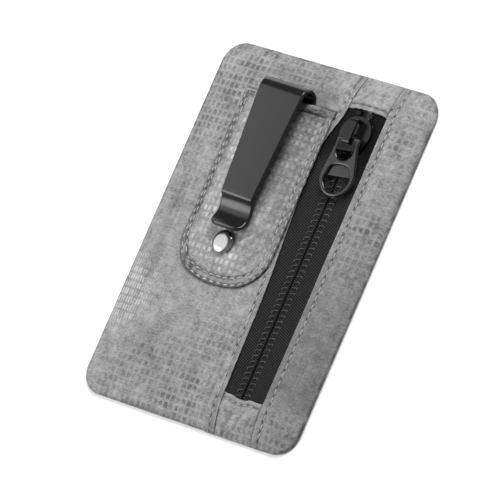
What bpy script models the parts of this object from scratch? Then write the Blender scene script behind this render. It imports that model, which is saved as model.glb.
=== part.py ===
"""Hidden travel pouch: a flat ripstop pouch with a zip and a belt clip.

The pouch lies on its back. X runs across it, Y runs up toward its top edge
and Z points out of its front face. The origin is the middle of the resting
face. All lengths are in metres.
"""
import math

import bmesh
import bpy
from mathutils import Matrix

# Pouch body
POUCH_WIDTH = 0.1020
POUCH_HEIGHT = 0.1400
CORNER_RADIUS = 0.0093
INNER_CORNER_SHARE = 0.25
SHELL_THICKNESS = 0.00035
LINING_THICKNESS = 0.00015
LAYER_GAP = 0.00025
SEAM_RISE = 0.0006
RIM_WIDTH = 0.0090
LINING_INSET = 0.0060
CLIP_SIDE_HEIGHT = 0.0030
ZIP_SIDE_HEIGHT = 0.0039
HEIGHT_STEP_FROM_ZIP = 0.0220
HEIGHT_STEP_TO_ZIP = 0.0146
SIDE_GAP = 0.0003
PANEL_RING_SHARES = (0.0, 0.04, 0.08, 0.12, 0.17, 0.24, 0.34, 0.45, 0.57, 0.69, 0.79, 0.84, 0.91, 1.0)
LINING_RING_SHARES = (0.0, 0.06, 0.13, 0.28, 0.48, 0.65, 0.80, 0.92, 1.0)

# Zip
ZIP_FROM_RIGHT_EDGE = 0.0284
ZIP_VISIBLE_HALF_WIDTH_LEFT = 0.0081
ZIP_VISIBLE_HALF_WIDTH_RIGHT = 0.0101
LEFT_FLAP_BOW = 0.0014
ZIP_OPENING_FROM_TOP = 0.0130
ZIP_OPENING_FROM_BOTTOM = 0.0152
TAB_BOW = 0.0006
TAPE_END_INSET = 0.0098
TAPE_WIDTH = 0.0139
TAPE_THICKNESS = 0.0004
TAPE_BOTTOM = 0.0029
TAPE_CENTRE_GAP = 0.0003
COIL_HEIGHT = 0.0010
COIL_TAPE_GAP = 0.00015
COIL_PITCH = 0.0016
COIL_TOOTH_WIDTH = 0.0005
COIL_REACH = 0.0006
COIL_ROOT = 0.0007
COIL_WIDTH = 0.0026
COIL_LEFT_PHASE_SHARE = 0.25
COIL_RIGHT_PHASE_SHARE = 0.75
COIL_FROM_TAPE_END = 0.0032
COIL_FROM_OPENING_TOP = 0.0027

# Zip slider
SLIDER_FROM_OPENING_TOP = 0.0157
SLIDER_LENGTH = 0.0134
TOP_PLATE_HALF_WIDTH = 0.0069
TOP_PLATE_FOOT_HALF_WIDTH = 0.0047
TOP_PLATE_WIDEST_SHARE = 0.46
TOP_PLATE_ROUND_POWER = 0.85
TOP_PLATE_THICKNESS = 0.0011
LOWER_PLATE_THICKNESS = 0.00055
SLIDER_PLATE_GAP = 0.0002
FLANGE_THICKNESS = 0.0008
CHANNEL_CLEARANCE = 0.0004
NECK_HALF_WIDTH = 0.0013
NECK_LENGTH = 0.0048
NECK_FROM_TOP = 0.0018
NECK_TIP_SHARE = 0.25
NECK_TAPER_SHARE = 0.6
COIL_PART_SPREAD = 0.0022
COIL_PART_RUN = 0.0042
PLATE_BEVEL = 0.00030

# Bridge, lock spring and puller
BRIDGE_WIDTH = 0.0033
BRIDGE_LENGTH = 0.0100
BRIDGE_WALL = 0.0009
BRIDGE_HEIGHT = 0.0034
BRIDGE_CORNER = 0.0014
BRIDGE_BEVEL = 0.0002
BRIDGE_FROM_SLIDER_FOOT = 0.0017
SEAT_GAP = 0.0002
PULLER_FROM_SLIDER_FOOT = 0.0041
PULLER_AXIS_LIFT = 0.0012
PULLER_TURN_DEG = 5.5
PULLER_TILT_DEG = 2.6
PULLER_LENGTH = 0.0220
PULLER_THICKNESS = 0.0016
PULLER_EYE_HALF_WIDTH = 0.0052
PULLER_BAR_SHARE = 0.9
PULLER_BAR_BEVEL_SHARE = 0.4
PULLER_FOOT_RADIUS = 0.0077
PULLER_HOLE_HALF_WIDTH = 0.0037
PULLER_HOLE_LENGTH = 0.0082
PULLER_HOLE_TOP_SHARE = 0.86
PULLER_FOOT_SIDE_SHARES = (0.99, 0.2)
PULLER_SHOULDER_SHARE = 0.30
PULLER_SHOULDER_DROP_SHARE = 0.75
PULLER_STRAIGHT_DROP_SHARE = 0.35
PULLER_RIM = 0.0021
PULLER_FOOT_RIM = 0.0015
PULLER_PLATE_FROM = 0.0100
PULLER_PLATE_TO = 0.0141
PULLER_PLATE_THICKNESS = 0.0007
PULLER_BEVEL = 0.00035
PULLER_LEDGE = 0.00015
PULLER_ARCH_SHARE = 0.24
PULLER_ARCH_SHARES = ((0.97, 1.6), (0.72, 0.55), (0.36, 0.12), (0.0, 0.0))
SPRING_WIDTH = 0.0016
SPRING_THICKNESS = 0.0003
SPRING_PIN_FROM_SLIDER_FOOT = 0.0061
SPRING_PIN_LENGTH = 0.0006
SPRING_HOLE_CLEARANCE = 0.0002

# Zip stops
STOP_LENGTH = 0.0014
STOP_WALL = 0.0004
STOP_WIDTH = 0.0022
STOP_GAP = 0.00015
TOP_STOP_BEVEL = 0.00013
BOTTOM_STOP_BEVEL = 0.0002
TOP_STOP_PAST_COIL = 0.0009
BOTTOM_STOP_HALF_WIDTH = 0.0036

# Belt clip
CLIP_FROM_ZIP = 0.0346
CLIP_TURN_DEG = 1.9
STRIP_THICKNESS = 0.0015
STRIP_BEVEL = 0.00045
CLIP_BEND_TOP = 0.0095
CLIP_BEND_RADIUS = 0.0030
CLIP_BEND_PAST_PATCH = 0.0038
CLIP_LEG_LENGTH = 0.0441
CLIP_FOLD_DROP = 0.0024
CLIP_TOP_HALF_WIDTH = 0.0103
CLIP_FOLD_HALF_WIDTH = 0.0076
LEG_ROW_SHARES = (0.35, 0.7, 1.0)
CLIP_COLUMN_SHARES = (-1.0, -0.5, 0.0, 0.5, 1.0)
LIP_LENGTH = 0.0100
LIP_DEPTH = 0.0024
LIP_FLARE = 0.0012
LIP_LOWEST_SHARE = 0.62
LIP_DIP_POWER = 1.5
LIP_CORNER = 0.0050
SPLIT_PAST_PATCH = 0.0005
TONGUE_PAST_RIVET = 0.0063
TONGUE_FOOT_HALF_WIDTH = 0.0075
TONGUE_FULL_WIDTH_SHARE = 0.62
TONGUE_BEVEL = 0.0002

# Patch over the tongue of the clip
PATCH_FROM_ZIP = 0.0120
PATCH_WIDTH = 0.0431
PATCH_FROM_TOP = 0.0165
PATCH_PAST_RIVET = 0.0153
PATCH_END_LENGTH = 0.0170
PATCH_END_POWER = 2.4
PATCH_BUMP_RUN = 0.0070
PATCH_BUMP_MARGIN = 0.0015
PATCH_RING_SHARES = (0.0, 0.08, 0.18, 0.28, 0.38, 0.48, 0.60, 0.80, 1.0)

# Rivet
RIVET_FROM_LIP = 0.0069
RIVET_CAP_RADIUS = 0.0045
RIVET_CAP_HEIGHT = 0.0018
RIVET_CAP_RIM = 0.0005
RIVET_POST_RADIUS = 0.0015
RIVET_HOLE_CLEARANCE = 0.0003
RIVET_HEAD_RADIUS = 0.0040
RIVET_HEAD_THICKNESS = 0.0006

CUT_OVERRUN = 0.0020
WELD_DISTANCE = 0.000002
ARC_STEPS = 8
ROUND_STEPS = 40
FOOT_STEPS = 10
SPREAD_STEPS = 6

# Places in X and Y that follow from the sizes above
ZIP_X = POUCH_WIDTH / 2 - ZIP_FROM_RIGHT_EDGE
HEIGHT_STEP_FROM_X = ZIP_X - HEIGHT_STEP_FROM_ZIP
HEIGHT_STEP_TO_X = ZIP_X - HEIGHT_STEP_TO_ZIP
ZIP_OPENING_TOP = POUCH_HEIGHT / 2 - ZIP_OPENING_FROM_TOP
ZIP_OPENING_BOTTOM = ZIP_OPENING_FROM_BOTTOM - POUCH_HEIGHT / 2
TAPE_HALF_LENGTH = POUCH_HEIGHT / 2 - TAPE_END_INSET
COIL_BOTTOM_Y = COIL_FROM_TAPE_END - TAPE_HALF_LENGTH
COIL_TOP_Y = ZIP_OPENING_TOP - COIL_FROM_OPENING_TOP
TOP_STOP_Y = COIL_TOP_Y + TOP_STOP_PAST_COIL
SLIDER_REST_Y = ZIP_OPENING_TOP - SLIDER_FROM_OPENING_TOP
CHAIN_PART_Y = SLIDER_REST_Y + SLIDER_LENGTH - NECK_FROM_TOP - NECK_LENGTH - COIL_PART_RUN
BRIDGE_FOOT_Y = SLIDER_REST_Y + BRIDGE_FROM_SLIDER_FOOT
PULLER_AXIS_Y = SLIDER_REST_Y + PULLER_FROM_SLIDER_FOOT
SPRING_PIN_Y = SLIDER_REST_Y + SPRING_PIN_FROM_SLIDER_FOOT
PATCH_RIGHT_X = ZIP_X - PATCH_FROM_ZIP
PATCH_LEFT_X = PATCH_RIGHT_X - PATCH_WIDTH
PATCH_TOP_Y = POUCH_HEIGHT / 2 - PATCH_FROM_TOP
CLIP_X = ZIP_X - CLIP_FROM_ZIP
CLIP_BEND_Y = PATCH_TOP_Y + CLIP_BEND_PAST_PATCH
CLIP_FOLD_Y = CLIP_BEND_Y - CLIP_LEG_LENGTH
SPLIT_Y = PATCH_TOP_Y + SPLIT_PAST_PATCH
RIVET_Y = CLIP_FOLD_Y - LIP_LENGTH - RIVET_FROM_LIP
PATCH_BOTTOM_Y = RIVET_Y - PATCH_PAST_RIVET
TONGUE_BOTTOM_Y = RIVET_Y - TONGUE_PAST_RIVET

# Heights that follow from the sizes above
SEAM_TOP = SEAM_RISE + SHELL_THICKNESS
LINING_BACK_Z = SHELL_THICKNESS + LAYER_GAP
LOWER_PLATE_Z = LINING_BACK_Z + LINING_THICKNESS + LAYER_GAP
TAPE_TOP = TAPE_BOTTOM + TAPE_THICKNESS
COIL_TOP = TAPE_BOTTOM - COIL_TAPE_GAP
COIL_Z = COIL_TOP - COIL_HEIGHT
TOP_PLATE_Z = TAPE_TOP + SLIDER_PLATE_GAP
TOP_PLATE_TOP = TOP_PLATE_Z + TOP_PLATE_THICKNESS
POUCH_SPINE = (0.0, (POUCH_WIDTH - POUCH_HEIGHT) / 2, (POUCH_HEIGHT - POUCH_WIDTH) / 2)
TONGUE_Z = CLIP_SIDE_HEIGHT + LAYER_GAP
TONGUE_TOP = TONGUE_Z + STRIP_THICKNESS
PATCH_RAISED_TOP = TONGUE_TOP + LAYER_GAP + SHELL_THICKNESS
PATCH_LOW_RISE = LAYER_GAP + SHELL_THICKNESS
BRIDGE_BASE = TOP_PLATE_TOP + SEAT_GAP
PULLER_AXIS_Z = BRIDGE_BASE + PULLER_AXIS_LIFT

PARTS = "hidden_travel_pouch"
CUTTERS = "cutters"


def clear_scene():
    for item in list(bpy.data.objects):
        bpy.data.objects.remove(item, do_unlink=True)
    for name in (PARTS, CUTTERS):
        if name in bpy.data.collections:
            bpy.data.collections.remove(bpy.data.collections[name])


def make_collection(name):
    collection = bpy.data.collections.new(name)
    bpy.context.scene.collection.children.link(collection)
    return collection


def material(name, colour, roughness, metallic=0.0):
    made = bpy.data.materials.new(name)
    made.use_nodes = True
    shader = made.node_tree.nodes["Principled BSDF"]
    shader.inputs["Base Color"].default_value = (*colour, 1.0)
    shader.inputs["Roughness"].default_value = roughness
    shader.inputs["Metallic"].default_value = metallic
    return made


def add_object(name, mesh, look, parent=None):
    item = bpy.data.objects.new(name, mesh)
    bpy.data.collections[PARTS].objects.link(item)
    mesh.materials.clear()
    mesh.materials.append(look)
    item.parent = parent
    return item


def add_empty(name, location, turn=(0.0, 0.0, 0.0), parent=None):
    empty = bpy.data.objects.new(name, None)
    bpy.data.collections[PARTS].objects.link(empty)
    empty.location = location
    empty.rotation_euler = turn
    empty.parent = parent
    return empty


def smooth_round(item, angle_deg=35.0):
    item.data.shade_smooth()
    item.data.set_sharp_from_angle(angle=math.radians(angle_deg))


def mesh_from_bmesh(name, bm):
    bmesh.ops.recalc_face_normals(bm, faces=bm.faces)
    mesh = bpy.data.meshes.new(name)
    bm.to_mesh(mesh)
    bm.free()
    return mesh


def prism_mesh(name, outline, low, high):
    """A flat outline in X and Y, extruded from low to high."""
    curve = bpy.data.curves.new(name, "CURVE")
    curve.dimensions = "2D"
    curve.fill_mode = "BOTH"
    curve.extrude = (high - low) / 2
    spline = curve.splines.new("POLY")
    spline.points.add(len(outline) - 1)
    for point, (x, y) in zip(spline.points, outline):
        point.co = (x, y, 0.0, 1.0)
    spline.use_cyclic_u = True
    holder = bpy.data.objects.new(name + "_curve", curve)
    bpy.context.scene.collection.objects.link(holder)
    holder.location = (0.0, 0.0, (low + high) / 2)
    bpy.context.view_layer.update()
    graph = bpy.context.evaluated_depsgraph_get()
    mesh = bpy.data.meshes.new_from_object(holder.evaluated_get(graph))
    mesh.transform(holder.matrix_world)
    bm = bmesh.new()
    bm.from_mesh(mesh)
    bmesh.ops.remove_doubles(bm, verts=bm.verts, dist=WELD_DISTANCE)
    bmesh.ops.recalc_face_normals(bm, faces=bm.faces)
    bm.to_mesh(mesh)
    bm.free()
    mesh.name = name
    bpy.data.objects.remove(holder, do_unlink=True)
    bpy.data.curves.remove(curve)
    return mesh


def cutter(name, mesh, parent=None):
    item = bpy.data.objects.new(name, mesh)
    bpy.data.collections[CUTTERS].objects.link(item)
    item.hide_render = True
    item.display_type = "WIRE"
    item.parent = parent
    return item


def boolean(item, other, operation):
    step = item.modifiers.new(operation.lower(), "BOOLEAN")
    step.operation = operation
    step.solver = "EXACT"
    step.object = other


def bevel(item, width, segments=2, angle_deg=40.0):
    step = item.modifiers.new("rounded_edges", "BEVEL")
    step.width = width
    step.segments = segments
    step.limit_method = "ANGLE"
    step.angle_limit = math.radians(angle_deg)


def arc(centre, radius, from_deg, to_deg, steps=ARC_STEPS):
    points = []
    for index in range(steps + 1):
        angle = math.radians(from_deg + (to_deg - from_deg) * index / steps)
        points.append((centre[0] + radius * math.cos(angle), centre[1] + radius * math.sin(angle)))
    return points


def smooth_step(value):
    value = min(1.0, max(0.0, value))
    return value * value * (3.0 - 2.0 * value)


def blend(low, high, share):
    return low + (high - low) * share


def spaced(start, end, count):
    return [blend(start, end, index / count) for index in range(count)]


# The pouch's outline and the height of its front

def pouch_outline(inset=0.0, side_steps=8, corner_steps=6):
    """The rounded rectangle of the pouch, drawn in by the inset."""
    half_x = POUCH_WIDTH / 2 - inset
    half_y = POUCH_HEIGHT / 2 - inset
    radius = max(CORNER_RADIUS - inset, CORNER_RADIUS * INNER_CORNER_SHARE)
    points = []
    corners = ((half_x - radius, half_y - radius, 0.0), (radius - half_x, half_y - radius, 90.0),
               (radius - half_x, radius - half_y, 180.0), (half_x - radius, radius - half_y, 270.0))
    for index, (x, y, start) in enumerate(corners):
        points += arc((x, y), radius, start, start + 90.0, corner_steps)
        next_x, next_y, next_start = corners[(index + 1) % len(corners)]
        angle = math.radians(next_start)
        target = (next_x + radius * math.cos(angle), next_y + radius * math.sin(angle))
        xs = spaced(points[-1][0], target[0], side_steps)[1:]
        ys = spaced(points[-1][1], target[1], side_steps)[1:]
        points += list(zip(xs, ys))
    return points


def edge_distance(x, y):
    """How far a point lies inside the pouch's outline."""
    half_x = POUCH_WIDTH / 2
    half_y = POUCH_HEIGHT / 2
    corner_x = abs(x) - (half_x - CORNER_RADIUS)
    corner_y = abs(y) - (half_y - CORNER_RADIUS)
    if corner_x > 0.0 and corner_y > 0.0:
        return CORNER_RADIUS - math.hypot(corner_x, corner_y)
    return min(half_x - abs(x), half_y - abs(y))


def front_height(x, y):
    """The front panel's outer face: low at the seam, highest beside the zip."""
    step = smooth_step((x - HEIGHT_STEP_FROM_X) / (HEIGHT_STEP_TO_X - HEIGHT_STEP_FROM_X))
    middle = blend(CLIP_SIDE_HEIGHT, ZIP_SIDE_HEIGHT, step)
    return blend(SEAM_TOP, middle, smooth_step(edge_distance(x, y) / RIM_WIDTH))


def lining_height(x, y):
    return front_height(x, y) - SHELL_THICKNESS - LAYER_GAP


def patch_height(x, y):
    """The patch follows the panel at its edge and rises over the clip's tongue."""
    turn = math.radians(CLIP_TURN_DEG)
    aside = (x - CLIP_X) * math.cos(turn) - (y - RIVET_Y) * math.sin(turn)
    across = (abs(aside) - CLIP_TOP_HALF_WIDTH - PATCH_BUMP_MARGIN) / PATCH_BUMP_RUN
    below = (TONGUE_BOTTOM_Y - PATCH_BUMP_MARGIN - y) / PATCH_BUMP_RUN
    share = smooth_step(1.0 - max(0.0, across)) * smooth_step(1.0 - max(0.0, below))
    return blend(front_height(x, y) + PATCH_LOW_RISE, PATCH_RAISED_TOP, share)


def sheet_mesh(name, outline, spine, ring_shares, height_at):
    """An open draped surface: rings of the outline drawn in toward a spine."""
    bm = bmesh.new()
    rings = []
    for share in ring_shares:
        ring = []
        for x, y in outline:
            spine_y = min(spine[2], max(spine[1], y))
            px = blend(x, spine[0], share)
            py = blend(y, spine_y, share)
            ring.append(bm.verts.new((px, py, height_at(px, py))))
        rings.append(ring)
    count = len(outline)
    for outer, inner in zip(rings, rings[1:]):
        for index in range(count):
            after = (index + 1) % count
            bm.faces.new((outer[index], outer[after], inner[after], inner[index]))
    bmesh.ops.remove_doubles(bm, verts=bm.verts, dist=WELD_DISTANCE)
    bmesh.ops.recalc_face_normals(bm, faces=bm.faces)
    if sum(face.normal.z for face in bm.faces) < 0.0:
        bmesh.ops.reverse_faces(bm, faces=bm.faces)
    bmesh.ops.triangulate(bm, faces=bm.faces)
    mesh = bpy.data.meshes.new(name)
    bm.to_mesh(mesh)
    bm.free()
    return mesh


def thicken(item, thickness):
    step = item.modifiers.new("cloth_thickness", "SOLIDIFY")
    step.thickness = thickness
    step.offset = -1.0


def left_flap_x(y):
    """The left flap's folded edge bows away from the zip in the middle."""
    relative = y / ZIP_OPENING_TOP
    return ZIP_X - ZIP_VISIBLE_HALF_WIDTH_LEFT - LEFT_FLAP_BOW * (1.0 - relative * relative)


def right_flap_x():
    return ZIP_X + ZIP_VISIBLE_HALF_WIDTH_RIGHT


def flap_edge_points(gap, steps=16):
    reach = POUCH_HEIGHT / 2 + CUT_OVERRUN
    ys = [blend(-reach, reach, index / steps) for index in range(steps + 1)]
    return [(left_flap_x(y) + gap, y) for y in ys]


def panel_cuts():
    """Outlines in X and Y that divide the front into two panels and two tabs."""
    reach_x = POUCH_WIDTH / 2 + CUT_OVERRUN
    reach_y = POUCH_HEIGHT / 2 + CUT_OVERRUN
    left = [(-reach_x, reach_y), (-reach_x, -reach_y)] + flap_edge_points(0.0)
    right = [(right_flap_x(), -reach_y), (reach_x, -reach_y), (reach_x, reach_y), (right_flap_x(), reach_y)]
    left_edge = flap_edge_points(SIDE_GAP, 48)
    tab_right = right_flap_x() - SIDE_GAP
    top = [point for point in left_edge if point[1] > ZIP_OPENING_TOP]
    bottom = [point for point in left_edge if point[1] < ZIP_OPENING_BOTTOM]
    top = [(left_flap_x(ZIP_OPENING_TOP) + SIDE_GAP, ZIP_OPENING_TOP)] + top
    bottom = bottom + [(left_flap_x(ZIP_OPENING_BOTTOM) + SIDE_GAP, ZIP_OPENING_BOTTOM)]
    top_edge = bowed_edge(tab_right, top[0][0], ZIP_OPENING_TOP, TAB_BOW)
    bottom_edge = bowed_edge(bottom[-1][0], tab_right, ZIP_OPENING_BOTTOM, -TAB_BOW)
    top_tab = top + [(tab_right, reach_y)] + top_edge
    bottom_tab = bottom + bottom_edge + [(tab_right, -reach_y)]
    return {"left": left, "right": right, "top": top_tab, "bottom": bottom_tab}


def bowed_edge(from_x, to_x, y, bow, steps=8):
    """A slightly curved edge from one place to another, without its shared corner."""
    points = []
    for index in range(steps + 1):
        share = index / steps
        lift = 4.0 * share * (1.0 - share) * bow
        points.append((blend(from_x, to_x, share), y + lift))
    return points[1:] if bow < 0.0 else points[:-1]


def make_back(looks):
    mesh = prism_mesh("back_panel", pouch_outline(0.0, 1), 0.0, SHELL_THICKNESS)
    add_object("back_panel", mesh, looks["ripstop_back"])
    inner = pouch_outline(LINING_INSET, 1)
    low = LINING_BACK_Z
    mesh = prism_mesh("lining_back", inner, low, low + LINING_THICKNESS)
    add_object("lining_back", mesh, looks["lining_back"])


def make_front(looks, rivet_hole):
    outlines = panel_cuts()
    pieces = (("front_panel_left", "left"), ("front_panel_right", "right"),
              ("zip_tab_top", "top"), ("zip_tab_bottom", "bottom"))
    for name, key in pieces:
        mesh = sheet_mesh(name, pouch_outline(0.0, 10), POUCH_SPINE, PANEL_RING_SHARES, front_height)
        item = add_object(name, mesh, looks[name])
        thicken(item, SHELL_THICKNESS)
        keep = prism_mesh(name + "_cut", outlines[key], -CUT_OVERRUN, ZIP_SIDE_HEIGHT + CUT_OVERRUN)
        boolean(item, cutter(name + "_cut", keep), "INTERSECT")
        if key == "left":
            boolean(item, rivet_hole, "DIFFERENCE")


def make_front_lining(looks, rivet_hole):
    tape_left = ZIP_X - TAPE_CENTRE_GAP / 2 - TAPE_WIDTH - SIDE_GAP
    tape_right = ZIP_X + TAPE_CENTRE_GAP / 2 + TAPE_WIDTH + SIDE_GAP
    reach_x = POUCH_WIDTH / 2
    reach_y = POUCH_HEIGHT / 2
    high = ZIP_SIDE_HEIGHT + CUT_OVERRUN
    for name, low_x, high_x in (("lining_front_left", -reach_x, tape_left),
                                ("lining_front_right", tape_right, reach_x)):
        outline = pouch_outline(LINING_INSET, 6)
        mesh = sheet_mesh(name, outline, POUCH_SPINE, LINING_RING_SHARES, lining_height)
        item = add_object(name, mesh, looks[name])
        thicken(item, LINING_THICKNESS)
        box = [(low_x, -reach_y), (high_x, -reach_y), (high_x, reach_y), (low_x, reach_y)]
        keep = prism_mesh(name + "_cut", box, -CUT_OVERRUN, high)
        boolean(item, cutter(name + "_cut", keep), "INTERSECT")
        if name.endswith("left"):
            boolean(item, rivet_hole, "DIFFERENCE")


def patch_outline():
    """Straight sides, a straight top and a broad round lower end."""
    centre = (PATCH_LEFT_X + PATCH_RIGHT_X) / 2
    half = (PATCH_RIGHT_X - PATCH_LEFT_X) / 2
    end_y = PATCH_BOTTOM_Y + PATCH_END_LENGTH
    points = []
    steps = 24
    for index in range(steps + 1):
        angle = math.pi + math.pi * index / steps
        power = 2.0 / PATCH_END_POWER
        across = math.copysign(abs(math.cos(angle)) ** power, math.cos(angle))
        down = abs(math.sin(angle)) ** power
        points.append((centre + half * across, end_y - PATCH_END_LENGTH * down))
    rows = 8
    right = [(PATCH_RIGHT_X, y) for y in spaced(end_y, PATCH_TOP_Y, rows)[1:]]
    top = [(x, PATCH_TOP_Y) for x in spaced(PATCH_RIGHT_X, PATCH_LEFT_X, 12)]
    left = [(PATCH_LEFT_X, y) for y in spaced(PATCH_TOP_Y, end_y, rows)]
    return points + right + top + left


def make_patch(looks, rivet_hole):
    centre = (PATCH_LEFT_X + PATCH_RIGHT_X) / 2
    half = (PATCH_RIGHT_X - PATCH_LEFT_X) / 2
    spine = (centre, PATCH_BOTTOM_Y + half, PATCH_TOP_Y - half)
    mesh = sheet_mesh("clip_patch", patch_outline(), spine, PATCH_RING_SHARES, patch_height)
    item = add_object("clip_patch", mesh, looks["clip_patch"])
    thicken(item, SHELL_THICKNESS)
    boolean(item, rivet_hole, "DIFFERENCE")


# Zip chain

def coil_shift(y):
    """How far each half of the chain is pushed aside by the slider's neck."""
    return COIL_PART_SPREAD * smooth_step((y - CHAIN_PART_Y) / COIL_PART_RUN)


def spread_edge(near_x):
    """The run of an edge that follows the chain as it is pushed aside."""
    ys = [CHAIN_PART_Y + COIL_PART_RUN * index / SPREAD_STEPS for index in range(SPREAD_STEPS + 1)]
    return [(near_x + coil_shift(y), y) for y in ys]


def make_tapes(looks):
    bottom = -TAPE_HALF_LENGTH
    near = TAPE_CENTRE_GAP / 2
    inner = [(near, bottom)] + spread_edge(near) + [(near + COIL_PART_SPREAD, TAPE_HALF_LENGTH)]
    for name, side in (("zip_tape_left", -1.0), ("zip_tape_right", 1.0)):
        edge = [(ZIP_X + side * x, y) for x, y in inner]
        outer_x = ZIP_X + side * (TAPE_CENTRE_GAP / 2 + TAPE_WIDTH)
        outline = edge + [(outer_x, TAPE_HALF_LENGTH), (outer_x, bottom)]
        mesh = prism_mesh(name, outline, TAPE_BOTTOM, TAPE_TOP)
        add_object(name, mesh, looks[name])


def coil_outline(side, phase):
    """One half of the chain: a strip whose looped teeth reach past the centre."""
    inner = []
    count = int((COIL_TOP_Y - COIL_BOTTOM_Y) / COIL_PITCH)
    half = COIL_TOOTH_WIDTH / 2
    for index in range(count):
        middle = COIL_BOTTOM_Y + COIL_PITCH * (index + phase)
        for across, along in ((COIL_ROOT, -half), (-COIL_REACH, -half / 2),
                              (-COIL_REACH, half / 2), (COIL_ROOT, half)):
            y = middle + along
            inner.append((ZIP_X + side * (across + coil_shift(y)), y))
    top = inner[-1][1] + half
    bottom = inner[0][1] - half
    rows = 24
    outer = []
    for index in range(rows + 1):
        y = blend(top, bottom, index / rows)
        outer.append((ZIP_X + side * (COIL_WIDTH + coil_shift(y)), y))
    ends_top = [(ZIP_X + side * (COIL_ROOT + coil_shift(top)), top)]
    ends_bottom = [(ZIP_X + side * COIL_ROOT, bottom)]
    return inner + ends_top + outer + ends_bottom


def make_coils(looks):
    for name, side, phase in (("zip_coil_left", -1.0, COIL_LEFT_PHASE_SHARE),
                              ("zip_coil_right", 1.0, COIL_RIGHT_PHASE_SHARE)):
        mesh = prism_mesh(name, coil_outline(side, phase), COIL_Z, COIL_TOP)
        add_object(name, mesh, looks[name])


def make_stops(looks):
    edge_shift = TAPE_CENTRE_GAP / 2 + coil_shift(TOP_STOP_Y)
    low = TAPE_BOTTOM - STOP_GAP - STOP_WALL
    high = TAPE_TOP + STOP_GAP + STOP_WALL
    for name, side in (("zip_top_stop_left", -1.0), ("zip_top_stop_right", 1.0)):
        near = edge_shift - STOP_GAP - STOP_WALL
        far = near + STOP_WIDTH
        slot = near + STOP_WALL
        profile = [(near, low), (far, low), (far, low + STOP_WALL), (slot, low + STOP_WALL),
                   (slot, high - STOP_WALL), (far, high - STOP_WALL), (far, high), (near, high)]
        outline = [(ZIP_X + side * x, z) for x, z in profile]
        mesh = prism_mesh(name, outline, -STOP_LENGTH / 2, STOP_LENGTH / 2)
        mesh.transform(Matrix.Rotation(math.radians(90.0), 4, "X"))
        mesh.transform(Matrix.Translation((0.0, TOP_STOP_Y + STOP_LENGTH / 2, 0.0)))
        item = add_object(name, mesh, looks["zip_stop"])
        bevel(item, TOP_STOP_BEVEL, 1)
    half = BOTTOM_STOP_HALF_WIDTH
    low_y = COIL_BOTTOM_Y - SIDE_GAP - STOP_LENGTH
    outline = [(ZIP_X - half, low_y), (ZIP_X + half, low_y),
               (ZIP_X + half, low_y + STOP_LENGTH), (ZIP_X - half, low_y + STOP_LENGTH)]
    mesh = prism_mesh("zip_bottom_stop", outline, COIL_Z, COIL_TOP)
    item = add_object("zip_bottom_stop", mesh, looks["zip_stop"])
    bevel(item, BOTTOM_STOP_BEVEL)


# Slider

def mirrored(half_outline, centre_x):
    """Both sides of an outline given by its right half, bottom to top."""
    right = [(centre_x + x, y) for x, y in half_outline]
    left = [(centre_x - x, y) for x, y in reversed(half_outline) if x > 0.0]
    return right + left


def top_plate_outline():
    """The shield-shaped outer plate: a narrow foot, wide shoulders, a round nose."""
    widest_y = SLIDER_REST_Y + SLIDER_LENGTH * TOP_PLATE_WIDEST_SHARE
    nose = SLIDER_REST_Y + SLIDER_LENGTH - widest_y
    right = [(TOP_PLATE_FOOT_HALF_WIDTH, SLIDER_REST_Y)]
    steps = 12
    for index in range(steps + 1):
        angle = math.pi / 2 * index / steps
        across = math.cos(angle) ** TOP_PLATE_ROUND_POWER
        right.append((TOP_PLATE_HALF_WIDTH * across, widest_y + nose * math.sin(angle)))
    right[-1] = (0.0, right[-1][1])
    return mirrored(right, ZIP_X)


def lower_plate_outline():
    foot = COIL_WIDTH + CHANNEL_CLEARANCE + FLANGE_THICKNESS
    head = foot + COIL_PART_SPREAD
    top = SLIDER_REST_Y + SLIDER_LENGTH
    right = [(foot, SLIDER_REST_Y)] + spread_edge(foot)
    right += [(head, top - NECK_FROM_TOP), (head - NECK_FROM_TOP, top)]
    return mirrored(right, ZIP_X)


def channel_outline():
    inner = COIL_WIDTH + CHANNEL_CLEARANCE
    top = SLIDER_REST_Y + SLIDER_LENGTH
    right = [(inner, SLIDER_REST_Y - CUT_OVERRUN)] + spread_edge(inner)
    right.append((inner + COIL_PART_SPREAD, top + CUT_OVERRUN))
    return mirrored(right, ZIP_X)


def neck_outline():
    """The wedge between the two chain halves, pointed toward the foot."""
    top = SLIDER_REST_Y + SLIDER_LENGTH - NECK_FROM_TOP
    bottom = top - NECK_LENGTH
    half = NECK_HALF_WIDTH
    tip = half * NECK_TIP_SHARE
    taper = bottom + NECK_LENGTH * NECK_TAPER_SHARE
    right = [(tip, bottom), (half, taper), (half, top - half / 2), (half / 2, top)]
    return mirrored(right, ZIP_X)


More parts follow.
